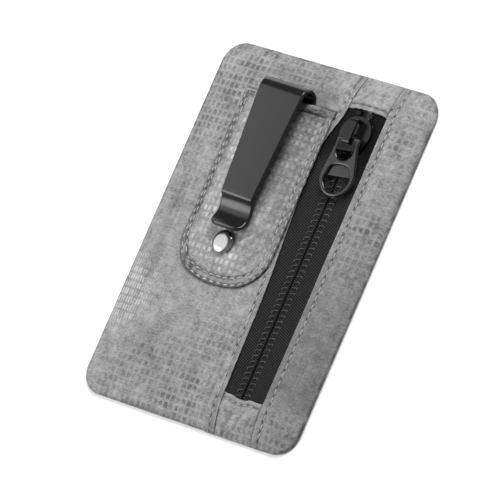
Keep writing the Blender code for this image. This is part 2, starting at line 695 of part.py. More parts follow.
def make_slider(looks, body):
    lower = prism_mesh("slider_body", lower_plate_outline(), LOWER_PLATE_Z, COIL_TOP)
    item = add_object("slider_body", lower, looks["slider_body"], body)
    channel = prism_mesh("slider_channel", channel_outline(), LOWER_PLATE_Z + LOWER_PLATE_THICKNESS,
                         COIL_TOP + CUT_OVERRUN)
    boolean(item, cutter("slider_channel", channel, body), "DIFFERENCE")
    neck = prism_mesh("slider_neck", neck_outline(), LOWER_PLATE_Z + LOWER_PLATE_THICKNESS / 2,
                      TOP_PLATE_Z + TOP_PLATE_THICKNESS / 2)
    boolean(item, cutter("slider_neck", neck, body), "UNION")
    plate = prism_mesh("slider_top_plate", top_plate_outline(), TOP_PLATE_Z, TOP_PLATE_TOP)
    plate_item = cutter("slider_top_plate", plate, body)
    bevel(plate_item, PLATE_BEVEL)
    boolean(item, plate_item, "UNION")
    half_x = SPRING_WIDTH / 2 + SPRING_HOLE_CLEARANCE
    half_y = SPRING_PIN_LENGTH / 2 + SPRING_HOLE_CLEARANCE
    hole = [(ZIP_X - half_x, SPRING_PIN_Y - half_y), (ZIP_X + half_x, SPRING_PIN_Y - half_y),
            (ZIP_X + half_x, SPRING_PIN_Y + half_y), (ZIP_X - half_x, SPRING_PIN_Y + half_y)]
    window = prism_mesh("slider_pin_hole", hole, TOP_PLATE_Z - SLIDER_PLATE_GAP / 2,
                        TOP_PLATE_TOP + CUT_OVERRUN)
    boolean(item, cutter("slider_pin_hole", window, body), "DIFFERENCE")


def side_profile_mesh(name, profile, width, centre_x):
    """A profile in Y and Z, extruded across X about a centre."""
    mesh = prism_mesh(name, profile, -width / 2, width / 2)
    turn = Matrix(((0.0, 0.0, 1.0, centre_x), (1.0, 0.0, 0.0, 0.0), (0.0, 1.0, 0.0, 0.0), (0.0, 0.0, 0.0, 1.0)))
    mesh.transform(turn)
    return mesh


def make_bridge(looks, body):
    low = BRIDGE_BASE
    high = low + BRIDGE_HEIGHT
    foot = BRIDGE_FOOT_Y
    top = foot + BRIDGE_LENGTH
    radius = BRIDGE_CORNER
    inner = radius - BRIDGE_WALL
    outer = [(foot, low)] + arc((foot + radius, high - radius), radius, 180.0, 90.0)
    outer += arc((top - radius, high - radius), radius, 90.0, 0.0) + [(top, low)]
    inside = [(top - BRIDGE_WALL, low)]
    inside += arc((top - radius, high - radius), inner, 0.0, 90.0)
    inside += arc((foot + radius, high - radius), inner, 90.0, 180.0)
    inside += [(foot + BRIDGE_WALL, low)]
    mesh = side_profile_mesh("slider_bridge", outer + inside, BRIDGE_WIDTH, ZIP_X)
    item = add_object("slider_bridge", mesh, looks["slider_bridge"], body)
    bevel(item, BRIDGE_BEVEL)
    smooth_round(item)


def make_lock_spring(looks, body):
    """A leaf under the bridge whose pin reaches down through the outer plate."""
    roof = BRIDGE_BASE + BRIDGE_HEIGHT - BRIDGE_WALL - SEAT_GAP
    leaf = roof - SPRING_THICKNESS
    pin_low = SPRING_PIN_Y - SPRING_PIN_LENGTH / 2
    pin_high = SPRING_PIN_Y + SPRING_PIN_LENGTH / 2
    rear = BRIDGE_FOOT_Y + BRIDGE_LENGTH - BRIDGE_WALL - SEAT_GAP
    rear_in = rear - SPRING_THICKNESS
    foot = BRIDGE_BASE
    profile = [(pin_low, TOP_PLATE_Z), (pin_low, roof), (rear, roof), (rear, foot),
               (rear_in, foot), (rear_in, leaf), (pin_high, leaf), (pin_high, TOP_PLATE_Z)]
    mesh = side_profile_mesh("slider_lock_spring", profile, SPRING_WIDTH, ZIP_X)
    add_object("slider_lock_spring", mesh, looks["slider_lock_spring"], body)


# Puller, in its own frame: the axis at the origin, its free end toward -Y

def puller_outline():
    """A tapering tag: rounded shoulders beside the eye and a full round foot."""
    eye = PULLER_EYE_HALF_WIDTH
    foot = PULLER_FOOT_RADIUS
    top = PULLER_THICKNESS / 2
    foot_y = PULLER_FOOT_RADIUS - PULLER_LENGTH
    side_x, side_y = PULLER_FOOT_SIDE_SHARES
    right = arc((0.0, foot_y), foot, -90.0, 0.0, FOOT_STEPS)
    right[0] = (0.0, right[0][1])
    right.append((foot * side_x, foot_y + foot * side_y))
    right.append((blend(eye, foot, PULLER_SHOULDER_SHARE), -PULLER_HOLE_LENGTH * PULLER_SHOULDER_DROP_SHARE))
    right.append((eye, -PULLER_HOLE_LENGTH * PULLER_STRAIGHT_DROP_SHARE))
    right += [(eye, -top), (eye * PULLER_BAR_SHARE, 0.0)]
    return mirrored(right, 0.0)


def eye_outline():
    """The eye is open at its top, where the round cross bar closes it."""
    half = PULLER_HOLE_HALF_WIDTH
    points = arc((0.0, half - PULLER_HOLE_LENGTH), half, 180.0, 360.0, 12)
    top = half * PULLER_HOLE_TOP_SHARE
    return points + [(top, CUT_OVERRUN), (-top, CUT_OVERRUN)]


def window_outline(arched, inset):
    """The sunk window, arched at its top, or only its open part below the plate."""
    radius = PULLER_FOOT_RADIUS - PULLER_RIM - inset
    centre_y = PULLER_FOOT_RIM + PULLER_FOOT_RADIUS - PULLER_RIM - PULLER_LENGTH
    right = arc((0.0, centre_y), radius, -90.0, 0.0, FOOT_STEPS)
    right[0] = (0.0, right[0][1])
    if arched:
        arch = radius * PULLER_ARCH_SHARE
        for across_share, drop_share in PULLER_ARCH_SHARES:
            right.append((radius * across_share, -PULLER_PLATE_FROM - arch * drop_share))
    else:
        right.append((radius, -PULLER_PLATE_TO))
    return mirrored(right, 0.0)


def make_puller(looks, hinge):
    half = PULLER_THICKNESS / 2
    plate = prism_mesh("slider_puller", puller_outline(), -half, half)
    item = add_object("slider_puller", plate, looks["slider_puller"], hinge)
    bevel(item, PULLER_BEVEL, 3)
    eye = prism_mesh("puller_eye", eye_outline(), -half - CUT_OVERRUN, half + CUT_OVERRUN)
    boolean(item, cutter("puller_eye", eye, hinge), "DIFFERENCE")
    sunk = window_outline(True, 0.0)
    front_pocket = prism_mesh("puller_pocket", sunk, PULLER_PLATE_THICKNESS / 2, half + CUT_OVERRUN)
    boolean(item, cutter("puller_pocket", front_pocket, hinge), "DIFFERENCE")
    rear_pocket = prism_mesh("puller_rear_pocket", sunk, -half - CUT_OVERRUN, -PULLER_PLATE_THICKNESS / 2)
    boolean(item, cutter("puller_rear_pocket", rear_pocket, hinge), "DIFFERENCE")
    open_part = window_outline(False, PULLER_LEDGE)
    window = prism_mesh("puller_window", open_part, -half - CUT_OVERRUN, half + CUT_OVERRUN)
    boolean(item, cutter("puller_window", window, hinge), "DIFFERENCE")
    length = 2 * PULLER_EYE_HALF_WIDTH * PULLER_BAR_SHARE
    bm = bmesh.new()
    bmesh.ops.create_cone(bm, cap_ends=True, segments=16, radius1=half, radius2=half, depth=length,
                          matrix=Matrix.Rotation(math.radians(90.0), 4, "Y"))
    bar = cutter("puller_bar", mesh_from_bmesh("puller_bar", bm), hinge)
    bevel(bar, half * PULLER_BAR_BEVEL_SHARE)
    boolean(item, bar, "UNION")
    smooth_round(item)


# Belt clip, in its own frame: the rivet at the origin of X and Y

def clip_path():
    """The front leg's strip in Y and Z: from the tongue, round the bend, to the lip.

    Each point lies on the strip's outer face, the one that the bend wraps.
    """
    base = TONGUE_Z
    top = base + CLIP_BEND_TOP
    radius = CLIP_BEND_RADIUS
    back = CLIP_BEND_Y - RIVET_Y
    split = SPLIT_Y + SIDE_GAP - RIVET_Y
    path = [(split, base)]
    path += arc((back - radius, base + radius), radius, -90.0, 0.0, 7)
    slope = math.atan2(CLIP_FOLD_DROP, back - radius - (CLIP_FOLD_Y - RIVET_Y))
    path += arc((back - radius, top - radius), radius, 0.0, 90.0 + math.degrees(slope), 8)
    return path


def lip_path(fold):
    """From the fold the strip dips toward the pouch and flares out again."""
    points = []
    steps = 12
    for index in range(1, steps + 1):
        share = index / steps
        dip = math.sin(math.pi * min(1.0, share / LIP_LOWEST_SHARE) / 2) ** LIP_DIP_POWER
        rise = smooth_step((share - LIP_LOWEST_SHARE) / (1.0 - LIP_LOWEST_SHARE))
        points.append((fold[0] - LIP_LENGTH * share, fold[1] - LIP_DEPTH * dip + LIP_FLARE * rise))
    return points


def strip_mesh(name, path, half_width_at, columns):
    """An open strip along a path in Y and Z, its width set at every point."""
    bm = bmesh.new()
    rows = []
    for index, (y, z) in enumerate(path):
        half = half_width_at(index, y)
        row = [bm.verts.new((half * share, y, z)) for share in columns]
        rows.append(row)
    for first, second in zip(rows, rows[1:]):
        for index in range(len(columns) - 1):
            bm.faces.new((first[index], first[index + 1], second[index + 1], second[index]))
    mesh = bpy.data.meshes.new(name)
    bm.to_mesh(mesh)
    bm.free()
    return mesh


def make_clip(looks, clip_frame):
    path = clip_path()
    fold_y = CLIP_FOLD_Y - RIVET_Y
    fold = (fold_y, TONGUE_Z + CLIP_BEND_TOP - CLIP_FOLD_DROP)
    leg_top = path[-1]
    leg = [(blend(leg_top[0], fold[0], share), blend(leg_top[1], fold[1], share)) for share in LEG_ROW_SHARES]
    lip = lip_path(fold)
    full = path + leg + lip
    bend_count = len(path)
    lip_end = fold[0] - LIP_LENGTH

    def half_width(index, y):
        if index < bend_count:
            return CLIP_TOP_HALF_WIDTH
        share = (leg_top[0] - y) / (leg_top[0] - fold[0])
        half = blend(CLIP_TOP_HALF_WIDTH, CLIP_FOLD_HALF_WIDTH, share)
        past = LIP_CORNER - (y - lip_end)
        if past > 0.0:
            half -= LIP_CORNER - math.sqrt(max(0.0, LIP_CORNER ** 2 - past ** 2))
        return half

    mesh = strip_mesh("belt_clip", full, half_width, CLIP_COLUMN_SHARES)
    item = add_object("belt_clip", mesh, looks["belt_clip"], clip_frame)
    step = item.modifiers.new("strip_thickness", "SOLIDIFY")
    step.thickness = STRIP_THICKNESS
    step.offset = 1.0
    step.use_even_offset = True
    bevel(item, STRIP_BEVEL, 2, 50.0)
    smooth_round(item)


def tongue_outline():
    top = SPLIT_Y - RIVET_Y
    low = TONGUE_BOTTOM_Y - RIVET_Y
    radius = TONGUE_FOOT_HALF_WIDTH
    right = arc((0.0, low + radius), radius, -90.0, 0.0, FOOT_STEPS)
    right[0] = (0.0, right[0][1])
    right += [(CLIP_TOP_HALF_WIDTH, top * TONGUE_FULL_WIDTH_SHARE), (CLIP_TOP_HALF_WIDTH, top)]
    return mirrored(right, 0.0)


def make_tongue(looks, clip_frame, rivet_hole):
    mesh = prism_mesh("clip_tongue", tongue_outline(), TONGUE_Z, TONGUE_TOP)
    item = add_object("clip_tongue", mesh, looks["clip_tongue"], clip_frame)
    bevel(item, TONGUE_BEVEL)
    boolean(item, rivet_hole, "DIFFERENCE")


# Rivet

def turned(name, profile, look, location):
    """A profile of radius and height, top to bottom, turned about Z."""
    bm = bmesh.new()
    verts = [bm.verts.new((radius, 0.0, height)) for radius, height in profile]
    for first, second in zip(verts, verts[1:]):
        bm.edges.new((first, second))
    mesh = bpy.data.meshes.new(name)
    bm.to_mesh(mesh)
    bm.free()
    item = add_object(name, mesh, look)
    item.location = location
    step = item.modifiers.new("turned", "SCREW")
    step.steps = ROUND_STEPS
    step.render_steps = ROUND_STEPS
    step.use_merge_vertices = True
    step.merge_threshold = WELD_DISTANCE
    step.use_smooth_shade = True
    return item


def make_rivet(looks):
    base = PATCH_RAISED_TOP + LAYER_GAP
    dome = RIVET_CAP_HEIGHT - RIVET_CAP_RIM
    profile = []
    steps = 8
    for index in range(steps + 1):
        angle = math.pi / 2 * index / steps
        profile.append((RIVET_CAP_RADIUS * math.sin(angle), base + RIVET_CAP_RIM + dome * math.cos(angle)))
    profile[0] = (0.0, profile[0][1])
    bore = RIVET_POST_RADIUS + RIVET_HOLE_CLEARANCE
    ceiling = base + RIVET_CAP_HEIGHT / 2
    profile += [(RIVET_CAP_RADIUS - RIVET_CAP_RIM / 2, base), (bore, base), (bore, ceiling), (0.0, ceiling)]
    turned("rivet_cap", profile, looks["rivet_cap"], (CLIP_X, RIVET_Y, 0.0))
    head_top = CLIP_SIDE_HEIGHT - SHELL_THICKNESS - LAYER_GAP - LINING_THICKNESS - LAYER_GAP
    head_low = head_top - RIVET_HEAD_THICKNESS
    post_top = ceiling - SEAT_GAP
    post = [(0.0, post_top), (RIVET_POST_RADIUS, post_top), (RIVET_POST_RADIUS, head_top),
            (RIVET_HEAD_RADIUS, head_top), (RIVET_HEAD_RADIUS, head_low), (0.0, head_low)]
    turned("rivet_post", post, looks["rivet_post"], (CLIP_X, RIVET_Y, 0.0))


def make_rivet_hole():
    radius = RIVET_POST_RADIUS + RIVET_HOLE_CLEARANCE
    depth = PATCH_RAISED_TOP + 2 * CUT_OVERRUN
    bm = bmesh.new()
    bmesh.ops.create_cone(bm, cap_ends=True, segments=ROUND_STEPS // 2, radius1=radius, radius2=radius,
                          depth=depth, matrix=Matrix.Translation((CLIP_X, RIVET_Y, depth / 2)))
    return cutter("rivet_hole", mesh_from_bmesh("rivet_hole", bm))


def make_looks():
    cloth = (0.34, 0.34, 0.34)
    looks = {}
    for name in ("front_panel_left", "front_panel_right", "zip_tab_top", "zip_tab_bottom", "clip_patch"):
        looks[name] = material(name, cloth, 0.75)
    looks["ripstop_back"] = material("ripstop_back", (0.30, 0.30, 0.30), 0.8)
    for name in ("lining_back", "lining_front_left", "lining_front_right"):
        looks[name] = material(name, (0.55, 0.56, 0.57), 0.45, 0.3)
    for name in ("zip_tape_left", "zip_tape_right"):
        looks[name] = material(name, (0.018, 0.018, 0.019), 0.85)
    for name in ("zip_coil_left", "zip_coil_right"):
        looks[name] = material(name, (0.015, 0.015, 0.016), 0.5)
    looks["zip_stop"] = material("zip_stop", (0.02, 0.02, 0.02), 0.4)
    for name in ("slider_body", "slider_bridge", "slider_puller"):
        looks[name] = material(name, (0.035, 0.035, 0.037), 0.32, 0.4)
    looks["slider_lock_spring"] = material("slider_lock_spring", (0.45, 0.45, 0.46), 0.3, 1.0)
    for name in ("belt_clip", "clip_tongue"):
        looks[name] = material(name, (0.06, 0.06, 0.06), 0.3, 0.5)
    for name in ("rivet_cap", "rivet_post"):
        looks[name] = material(name, (0.75, 0.75, 0.74), 0.15, 1.0)
    return looks


def build():
    clear_scene()
    make_collection(PARTS)
    make_collection(CUTTERS)
    looks = make_looks()
    rivet_hole = make_rivet_hole()
    make_back(looks)
    make_front(looks, rivet_hole)
    make_front_lining(looks, rivet_hole)
    make_patch(looks, rivet_hole)
    make_tapes(looks)
    make_coils(looks)
    make_stops(looks)
    slider = add_empty("slider_travel_frame", (0.0, 0.0, 0.0))
    make_slider(looks, slider)
    make_bridge(looks, slider)
    make_lock_spring(looks, slider)
    turn = (math.radians(PULLER_TILT_DEG), 0.0, math.radians(PULLER_TURN_DEG))
    hinge = add_empty("puller_pivot_frame", (ZIP_X, PULLER_AXIS_Y, PULLER_AXIS_Z), turn, slider)
    make_puller(looks, hinge)
    clip_turn = (0.0, 0.0, math.radians(-CLIP_TURN_DEG))
    clip_frame = add_empty("clip_frame", (CLIP_X, RIVET_Y, 0.0), clip_turn)
    make_tongue(looks, clip_frame, rivet_hole)
    make_clip(looks, clip_frame)
    make_rivet(looks)
    bpy.context.view_layer.update()


build()
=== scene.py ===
"""The looks of the hidden travel pouch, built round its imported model.

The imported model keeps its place: X runs across the pouch, Y up toward its top
edge and Z out of its front face. All lengths are in metres. The fabric, the
stitching, the zip's tape, the clip, the rivet's head and the pull tag are
modelled here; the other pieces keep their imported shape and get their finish.
"""
import math

import bmesh
import bpy
import numpy as np
from mathutils import Matrix, Vector


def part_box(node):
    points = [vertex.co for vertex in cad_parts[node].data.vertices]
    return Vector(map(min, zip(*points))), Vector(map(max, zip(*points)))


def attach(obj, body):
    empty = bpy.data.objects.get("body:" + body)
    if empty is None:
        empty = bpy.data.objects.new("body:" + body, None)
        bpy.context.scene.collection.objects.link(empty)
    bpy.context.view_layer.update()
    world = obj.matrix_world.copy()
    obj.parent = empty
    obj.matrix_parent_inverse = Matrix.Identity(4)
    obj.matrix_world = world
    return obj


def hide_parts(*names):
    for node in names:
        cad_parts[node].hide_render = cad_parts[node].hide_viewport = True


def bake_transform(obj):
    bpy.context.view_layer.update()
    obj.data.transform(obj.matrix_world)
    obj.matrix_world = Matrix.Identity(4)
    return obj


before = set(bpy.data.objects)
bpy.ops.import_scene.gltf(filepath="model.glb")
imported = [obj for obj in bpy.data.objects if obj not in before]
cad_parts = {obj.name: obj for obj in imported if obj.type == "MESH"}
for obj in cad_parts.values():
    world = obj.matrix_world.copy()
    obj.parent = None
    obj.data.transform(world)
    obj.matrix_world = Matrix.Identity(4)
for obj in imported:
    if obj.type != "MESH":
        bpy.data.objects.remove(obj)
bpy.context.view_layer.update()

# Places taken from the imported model
HALF_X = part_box("back_panel")[1].x
HALF_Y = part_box("back_panel")[1].y
ZIP_SIDE_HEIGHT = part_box("front_panel_left")[1].z
RIGHT_FOLD_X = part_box("front_panel_right")[0].x
TONGUE_LOW, TONGUE_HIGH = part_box("clip_tongue")
TAPE_LOW, TAPE_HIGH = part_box("zip_tape_left")
TAPE_RIGHT_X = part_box("zip_tape_right")[1].x
ZIP_X = (TAPE_LOW.x + TAPE_RIGHT_X) / 2
OPENING_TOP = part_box("zip_tab_top")[0].y
OPENING_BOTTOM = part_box("zip_tab_bottom")[1].y
PATCH_LOW, PATCH_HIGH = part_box("clip_patch")
PATCH_X = (PATCH_LOW.x + PATCH_HIGH.x) / 2
PATCH_HALF = (PATCH_HIGH.x - PATCH_LOW.x) / 2
RIVET_LOW, RIVET_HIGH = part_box("rivet_cap")
RIVET_X = (RIVET_LOW.x + RIVET_HIGH.x) / 2
RIVET_Y = (RIVET_LOW.y + RIVET_HIGH.y) / 2

# Cloth, its seam round the pouch and the front's height
CLOTH_THICKNESS = 0.00015
LAYER_GAP = 0.00025
CORNER_RADIUS = 0.0093
SEAM_Z = 0.00045
SEAM_ROUND = 0.00045
RIM_WIDTH = 0.015
RIM_POWER = 2.2
CLIP_SIDE_HEIGHT = TONGUE_LOW.z - LAYER_GAP
HEIGHT_STEP_X = (0.0006, 0.0080)
# Hills of a panel, each as height and size, and the rims where they and the seams fade
PANEL_HILLS = ((0.00016, 0.0140), (0.00008, 0.0050), (0.00003, 0.0021))
PANEL_FLAT_RIM = 0.0030
SEAM_FADE_RIM = 0.0020

# The left flap's fold: its own bow, and the bow where the patch holds it back, which
# grows from the first height to the second of each pair
LEFT_FOLD_X = ZIP_X - 0.0081
LEFT_FOLD_BOW = 0.0014
HELD_BOW = 0.0036
HELD_ABOVE = (0.0565, 0.0395)
HELD_BELOW = (-0.0220, 0.0340)

# Steps of the cloth's meshes, the noise's lattice and how close places are joined
CLOTH_STEP = 0.00055
CORNER_ROWS = 16
EDGE_INSETS = (0.0, 0.00003, 0.00010, 0.00022, 0.00045, 0.0008, 0.0012)
HEM_ZONE = 0.0060
HEM_STEP = 0.00022
LATTICE = 512
CLOTH_MERGE = 0.00001
METAL_MERGE = 0.000002

# Hems and rows of stitches
HEM_RADIUS = 0.00020
HEM_TURN_FROM = 75.0
HEM_BACKS = (0.0012, 0.0026)
HEM_RETURN = 0.0050
HEM_BULGE = 0.00018
FLAP_STITCH_INSET = 0.0023
RIGHT_FLAP_STITCH_INSET = 0.0029
FLAP_STITCH_START = -0.0670
STITCH_PITCH = 0.0033
STITCH_SHARE = 0.80
STITCH_SINK = 0.8
STITCH_RISE = 1.7
THREAD_RADIUS = 0.00017
GROOVE_DEPTH = 0.00026
GROOVE_WIDTH = 0.00045
PUCKER_REACH = 0.0022
PUCKER_HEIGHT = 0.00016
ROW_SHADE_WIDTH = 0.00055

# Painted shade of the flaps at the seam and along the stitch row, a darker folded lip, and the right
# flap's own painted shade, which grows downward and eases again near the bottom; the patches that make
# the shade uneven have a size, a base and a gain
EDGE_SHADE = 0.45
EDGE_SHADE_INSET = 0.0003
EDGE_SHADE_WIDTH = 0.0006
FLAP_SHADE_PATCHES = (0.0021, 0.5, 1.2)
FLAP_ROW_SHADE = 0.75
FLAP_ROW_SHADE_WIDTH = 0.0007
FLAP_CREASE_SHADE = 0.24
LIP_SHADE = 0.24
LIP_FROM = (0.0004, 0.0008)
LIP_END_RUN = 0.0006
RIGHT_EDGE_SHADE = 0.80
RIGHT_EDGE_REACH = 0.0011
LOW_SHADE = 0.52
LOW_SHADE_GROWS = (0.0450, -0.0450)
LOW_SHADE_EASE = 0.75
LOW_SHADE_EASES = (-0.0480, -0.0600)

# Tabs over the zip's ends
TAB_SIDE_UNDER = 0.0015
TAB_STEP = 0.0004
TAB_RETURN = 0.0040
TAB_BOW = 0.0006
TAB_TOP_WAVE = (0.00012, 0.0012)
TAB_BOTTOM_WAVE = (0.00060, 0.0030)
TAB_PLEATS = (0.00034, 0.0030)
TAB_HILLS = (0.00014, 0.0016)
TAB_FLAT_RIM = 0.003
TAB_PAST_TAPE = 0.0006
TAB_SQUARES_FADE = 0.0040
TAB_SINK = 0.00022
TAB_SIDE_SINK = 0.00028
TAB_SIDE_RUN = 0.0022
TAB_BULGE = 0.00018
TAB_BULGE_REACH = 0.0110
TAB_PLEAT_STRETCH = 0.30
TAB_SEAM_SHARE = 0.8
TAB_STITCH_INSET = 0.0017
TAB_STITCH_PITCH = 0.0029
TAB_STITCH_SINK = 0.00018
TAB_STITCH_MARGIN = 0.0008
TAB_THREAD_SHARE = 0.7
# Painted shade of the tabs: in their creases, where they run under the flaps and along their stitch rows
TAB_CREASE_SHADE = 0.40
TAB_SIDE_SHADE = 0.95
TAB_SIDE_SHADE_RUN = 0.0012
TAB_SHADE_PATCHES = (0.0017, 0.2, 1.3)
TAB_ROW_SHADE = 0.6
TAB_ROW_SHADE_WIDTH = 0.0008

# Patch: outline, rise over the clip's tongue, rows of stitches and painted shade
PATCH_END_LENGTH = 0.0170
PATCH_END_POWER = 2.4
PATCH_STEP = 0.0005
PATCH_EDGE_INSETS = (0.0, 0.00004)
PATCH_FINE_FROM = 0.00015
PATCH_FINE_STEP = 0.00021
PATCH_FINE_TO = 0.0042
PATCH_COARSE_RINGS = 40
PATCH_RETURN = 0.0035
PATCH_UNDER_INSETS = (PATCH_RETURN, 0.0015, 0.00025)
PATCH_UNDER_GAP = 0.00012
PATCH_HEM_RISE = 0.00060
PATCH_HEM_SHARE = 0.45
PATCH_BUMP_RUN = 0.0070
PATCH_BUMP_MARGIN = 0.0015
PATCH_RAISED_TOP = TONGUE_HIGH.z + LAYER_GAP + 0.00035
PATCH_ROWS_END = 0.0012
PATCH_OUTER_ROW = 0.0006
PATCH_INNER_ROW = 0.0030
PATCH_JOINED_ROW = 0.0017
PATCH_JOIN = (PATCH_LOW.y + 0.0090, PATCH_LOW.y + 0.0170)
PATCH_ROW_START = 0.0015
PATCH_ROW_SHIFT = 0.0016
PATCH_STITCH_SINK = 0.30
PATCH_OUTER_HEM = 0.00012
PATCH_INNER_SEAM = 1.2
PATCH_BAND_RISE = 0.00020
PATCH_BAND_WIDTH = 0.0032
PATCH_BAND_RUNS = (0.0006, 0.0008)
PATCH_HILLS = (0.00022, 0.0060)
PATCH_HILLS_RUN = 0.004
PATCH_FINE_HILLS = (0.00008, 0.0026)
PATCH_SQUARES = -1.35
PATCH_SQUARE_HILLS = (0.6, 0.0070)
PATCH_SQUARES_FADE = 0.003
PATCH_SQUARE_GAP = 0.25
# Painted shadow under the patch's edge, and painted shade in its creases, a band at its left, its right side
# and under its edge
PATCH_GAP = 0.00080
PATCH_GAP_SHADE = 0.65
PATCH_GAP_SHADE_TURNED = 0.33
PATCH_CREASE_SHADE = 0.34
PATCH_BAND_SHADE = 0.75
PATCH_SHADE_PATCHES = (0.0022, 0.75, 1.2)
PATCH_LEFT_SHADE_X = (RIVET_X - 0.006, RIVET_X - 0.012)
PATCH_LEFT_SHADE_PAST = 0.0006
PATCH_LEFT_SHADE_RUNS = (0.0005, 0.0008)
PATCH_LEFT_SHADE_ROW = 0.0009
PATCH_DIM = 0.36
PATCH_DIM_X = (PATCH_HIGH.x - 0.0105, PATCH_HIGH.x - 0.0055)
PATCH_DIM_Y = (PATCH_LOW.y, PATCH_LOW.y + 0.030)
PATCH_UNDER_SHADE = 0.6

# Bar tacks at the patch's upper corners
TACK_THREADS = 12
TACK_WIDTH = 0.0042
TACK_BELOW_TOP = 0.0012
TACK_RADIUS = 0.00012
TACK_PITCH = 0.0012
TACK_RISE = 0.0002
TACK_WANDER = 0.0002
TACK_REACH = (0.0004, 0.0010)
TACK_LEFT_INSET = 0.0030
TACK_RIGHT_INSET = 0.0050

# Back panel, with painted shade along its edge
BACK_COLUMNS = 140
BACK_RISE = 0.00014
BACK_HILLS = ((0.00010, 0.012), (0.00004, 0.004))
BACK_FLAT_RIM = 0.006
BACK_EDGE_SHADE = 0.3
BACK_EDGE_REACH = 0.0006
BACK_SQUARES = 0.15
BACK_SQUARE_HILLS = (0.45, 0.018)

# Linings
LINING_SEAM = 0.0022
LINING_TUCK = 0.0008
LINING_GAP = 0.0004
LINING_DROP = 0.00062
LINING_THICKNESS = 0.00008
LINING_GRID = (60, 90)
LINING_HILLS = (0.00006, 0.008)
LINING_RISE = 0.00010
LINING_SIDE_MARGIN = 0.004
LININGS = (
    ("lining_back_cloth", "lining_back", 81),
    ("lining_left_cloth", "lining_front_left", 83),
    ("lining_right_cloth", "lining_front_right", 87),
)

# Zip tape, with the threads of one mark as from and to, across and along the zip
TAPE_THICKNESS = 0.0003
TAPE_ROWS = 420
TAPE_EDGE_COLUMNS = (0.0, 0.00003, 0.00010, 0.00020)
# Columns over the coil's band, as first and last inset and number, then over the flat rest
TAPE_BAND_COLUMNS = (0.00035, 0.0040, 22)
TAPE_FLAT_FROM = 0.0044
TAPE_FLAT_COLUMNS = 22
TAPE_CENTRE_GAP = 0.0003
TAPE_BAND_WIDTH = 0.0034
TAPE_BAND_RUNS = (0.0004, 0.0009)
TAPE_EDGE_RUN = 0.0002
TAPE_HILLS = (0.00003, 0.004)
TAPE_RISE = 0.00012
COIL_PITCH = 0.0016
COIL_RISE = 0.00006
# Painted shade at the tape's inner edge, toward its top near the slider, and in the marks' needle holes
TAPE_EDGE_SHADE = 0.95
TAPE_EDGE_SHADE_WIDTH = 0.00045
TOP_SHADE = 0.85
TOP_SHADE_GROWS = (0.0330, 0.0430)
MARK_PITCH = 0.0022
MARK_THREAD_RADIUS = 0.00016
MARK_THREADS = (
    ((0.00090, 0.0), (0.00200, 0.0)),
    ((0.00180, 0.0), (0.00290, 0.0)),
    ((0.00310, -0.00090), (0.00310, 0.00010)),
)
MARK_LEAN = 0.26
MARK_RISE = 0.00008
MARK_BOW = 0.00006
MARK_TOP_MARGIN = 0.0040
MARK_HOLES = (0.00130, 0.00225)
MARK_HOLE_BELOW = 0.00065
MARK_HOLE_SIZE = 0.00034
# The tapes part between these heights, behind the slider
PART_Y = (0.0439, 0.0481)
PART_SPREAD = 0.0022

# Threads as meshes
THREAD_STEPS = 4
THREAD_SIDES = 6
THREAD_END_SHARE = 0.55
THREAD_FLATNESS = 1.2

# Belt clip, laid out straight along Y before it is turned about the rivet
CLIP_TURN = math.radians(1.9)
CLIP_TOP_HALF_WIDTH = 0.0103
CLIP_FOOT_HALF_WIDTH = 0.0075
CLIP_FOOT_LEAST = 0.02
# Share of the way from the rivet to the bend where the tongue is at its full width
CLIP_FULL_SHARE = 0.62
STRIP_THICKNESS = 0.0015
STRIP_HALF = STRIP_THICKNESS / 2
STRIP_ROUND = 0.00065
STRIP_CORNER_STEPS = 4
CLIP_BEND_TOP = 0.0095
CLIP_BEND_RADIUS = 0.0045
CLIP_BEND_Y = 0.0584
CLIP_FOLD_Y = 0.0132
CLIP_FOLD_DROP = 0.0024
CLIP_FOLD_HALF_WIDTH = 0.0076
CLIP_FOLD_ROUND = 0.00025
CLIP_LEG_STEPS = 25
CLIP_SHARP = math.radians(38.0)
LIP_ARC = 0.0138
LIP_FALL = math.radians(51.0)
LIP_FLARE = math.radians(53.0)
LIP_CORNER = 0.0030
LIP_STEPS = 44
LIP_STEP_POWER = 1.5

# Rivet's head
RIVET_RADIUS = (RIVET_HIGH.x - RIVET_LOW.x) / 2
RIVET_RIM = 0.00045
RIVET_FLATNESS = 0.74
RIVET_SIDES = 72
RIVET_FOOT_SHARE = 0.5
RIVET_FOOT_RISE = 0.0001

# Pull tag: where it hangs, its outline from the cross bar down, and its sunk plate
PULL_Y = 0.0454
PULL_Z = 0.0060
PULL_TURN = math.radians(5.5)
PULL_TILT = math.radians(2.6)
TAG_LENGTH = 0.0220
TAG_THICKNESS = 0.0016
TAG_ROUND = 0.00060
TAG_EYE_HALF = 0.0052
TAG_EYE_ROUND = 0.0008
TAG_EYE_DROP = 0.0006
TAG_BAR_SHARE = 0.9
TAG_FOOT_RADIUS = 0.0077
TAG_SHOULDER_SHARE = 0.30
TAG_HOLE_HALF = 0.0037
TAG_HOLE_LENGTH = 0.0082
TAG_HOLE_TOP = 0.0010
TAG_HOLE_TOP_SHARE = 0.93
TAG_RIM = 0.0021
TAG_FOOT_RIM = 0.0015
TAG_SHARP = math.radians(35.0)
PLATE_FROM = 0.0100
PLATE_TO = 0.0141
PLATE_THICKNESS = 0.0005
PLATE_ROUND = 0.0001
PLATE_SINK = 0.0004
PLATE_OVERLAP = 1.03
PLATE_ARCH = 0.24
# The window's arched top: share across and drop in arches
PLATE_ARCH_LINE = ((0.90, 2.6), (0.80, 1.1), (0.70, 0.45), (0.39, 0.07), (0.0, 0.0))

# Camera, fitted to the photo
CAMERA_PLACE = (1.2491, -0.2606, 1.5499)
CAMERA_RIGHT = (0.74518, 0.39609, -0.53648)
CAMERA_UP = (-0.23663, 0.90920, 0.34259)
CAMERA_BACK = (0.62347, -0.12834, 0.77124)
CAMERA_LENS_MM = 403.2
CAMERA_SENSOR_MM = 36.0

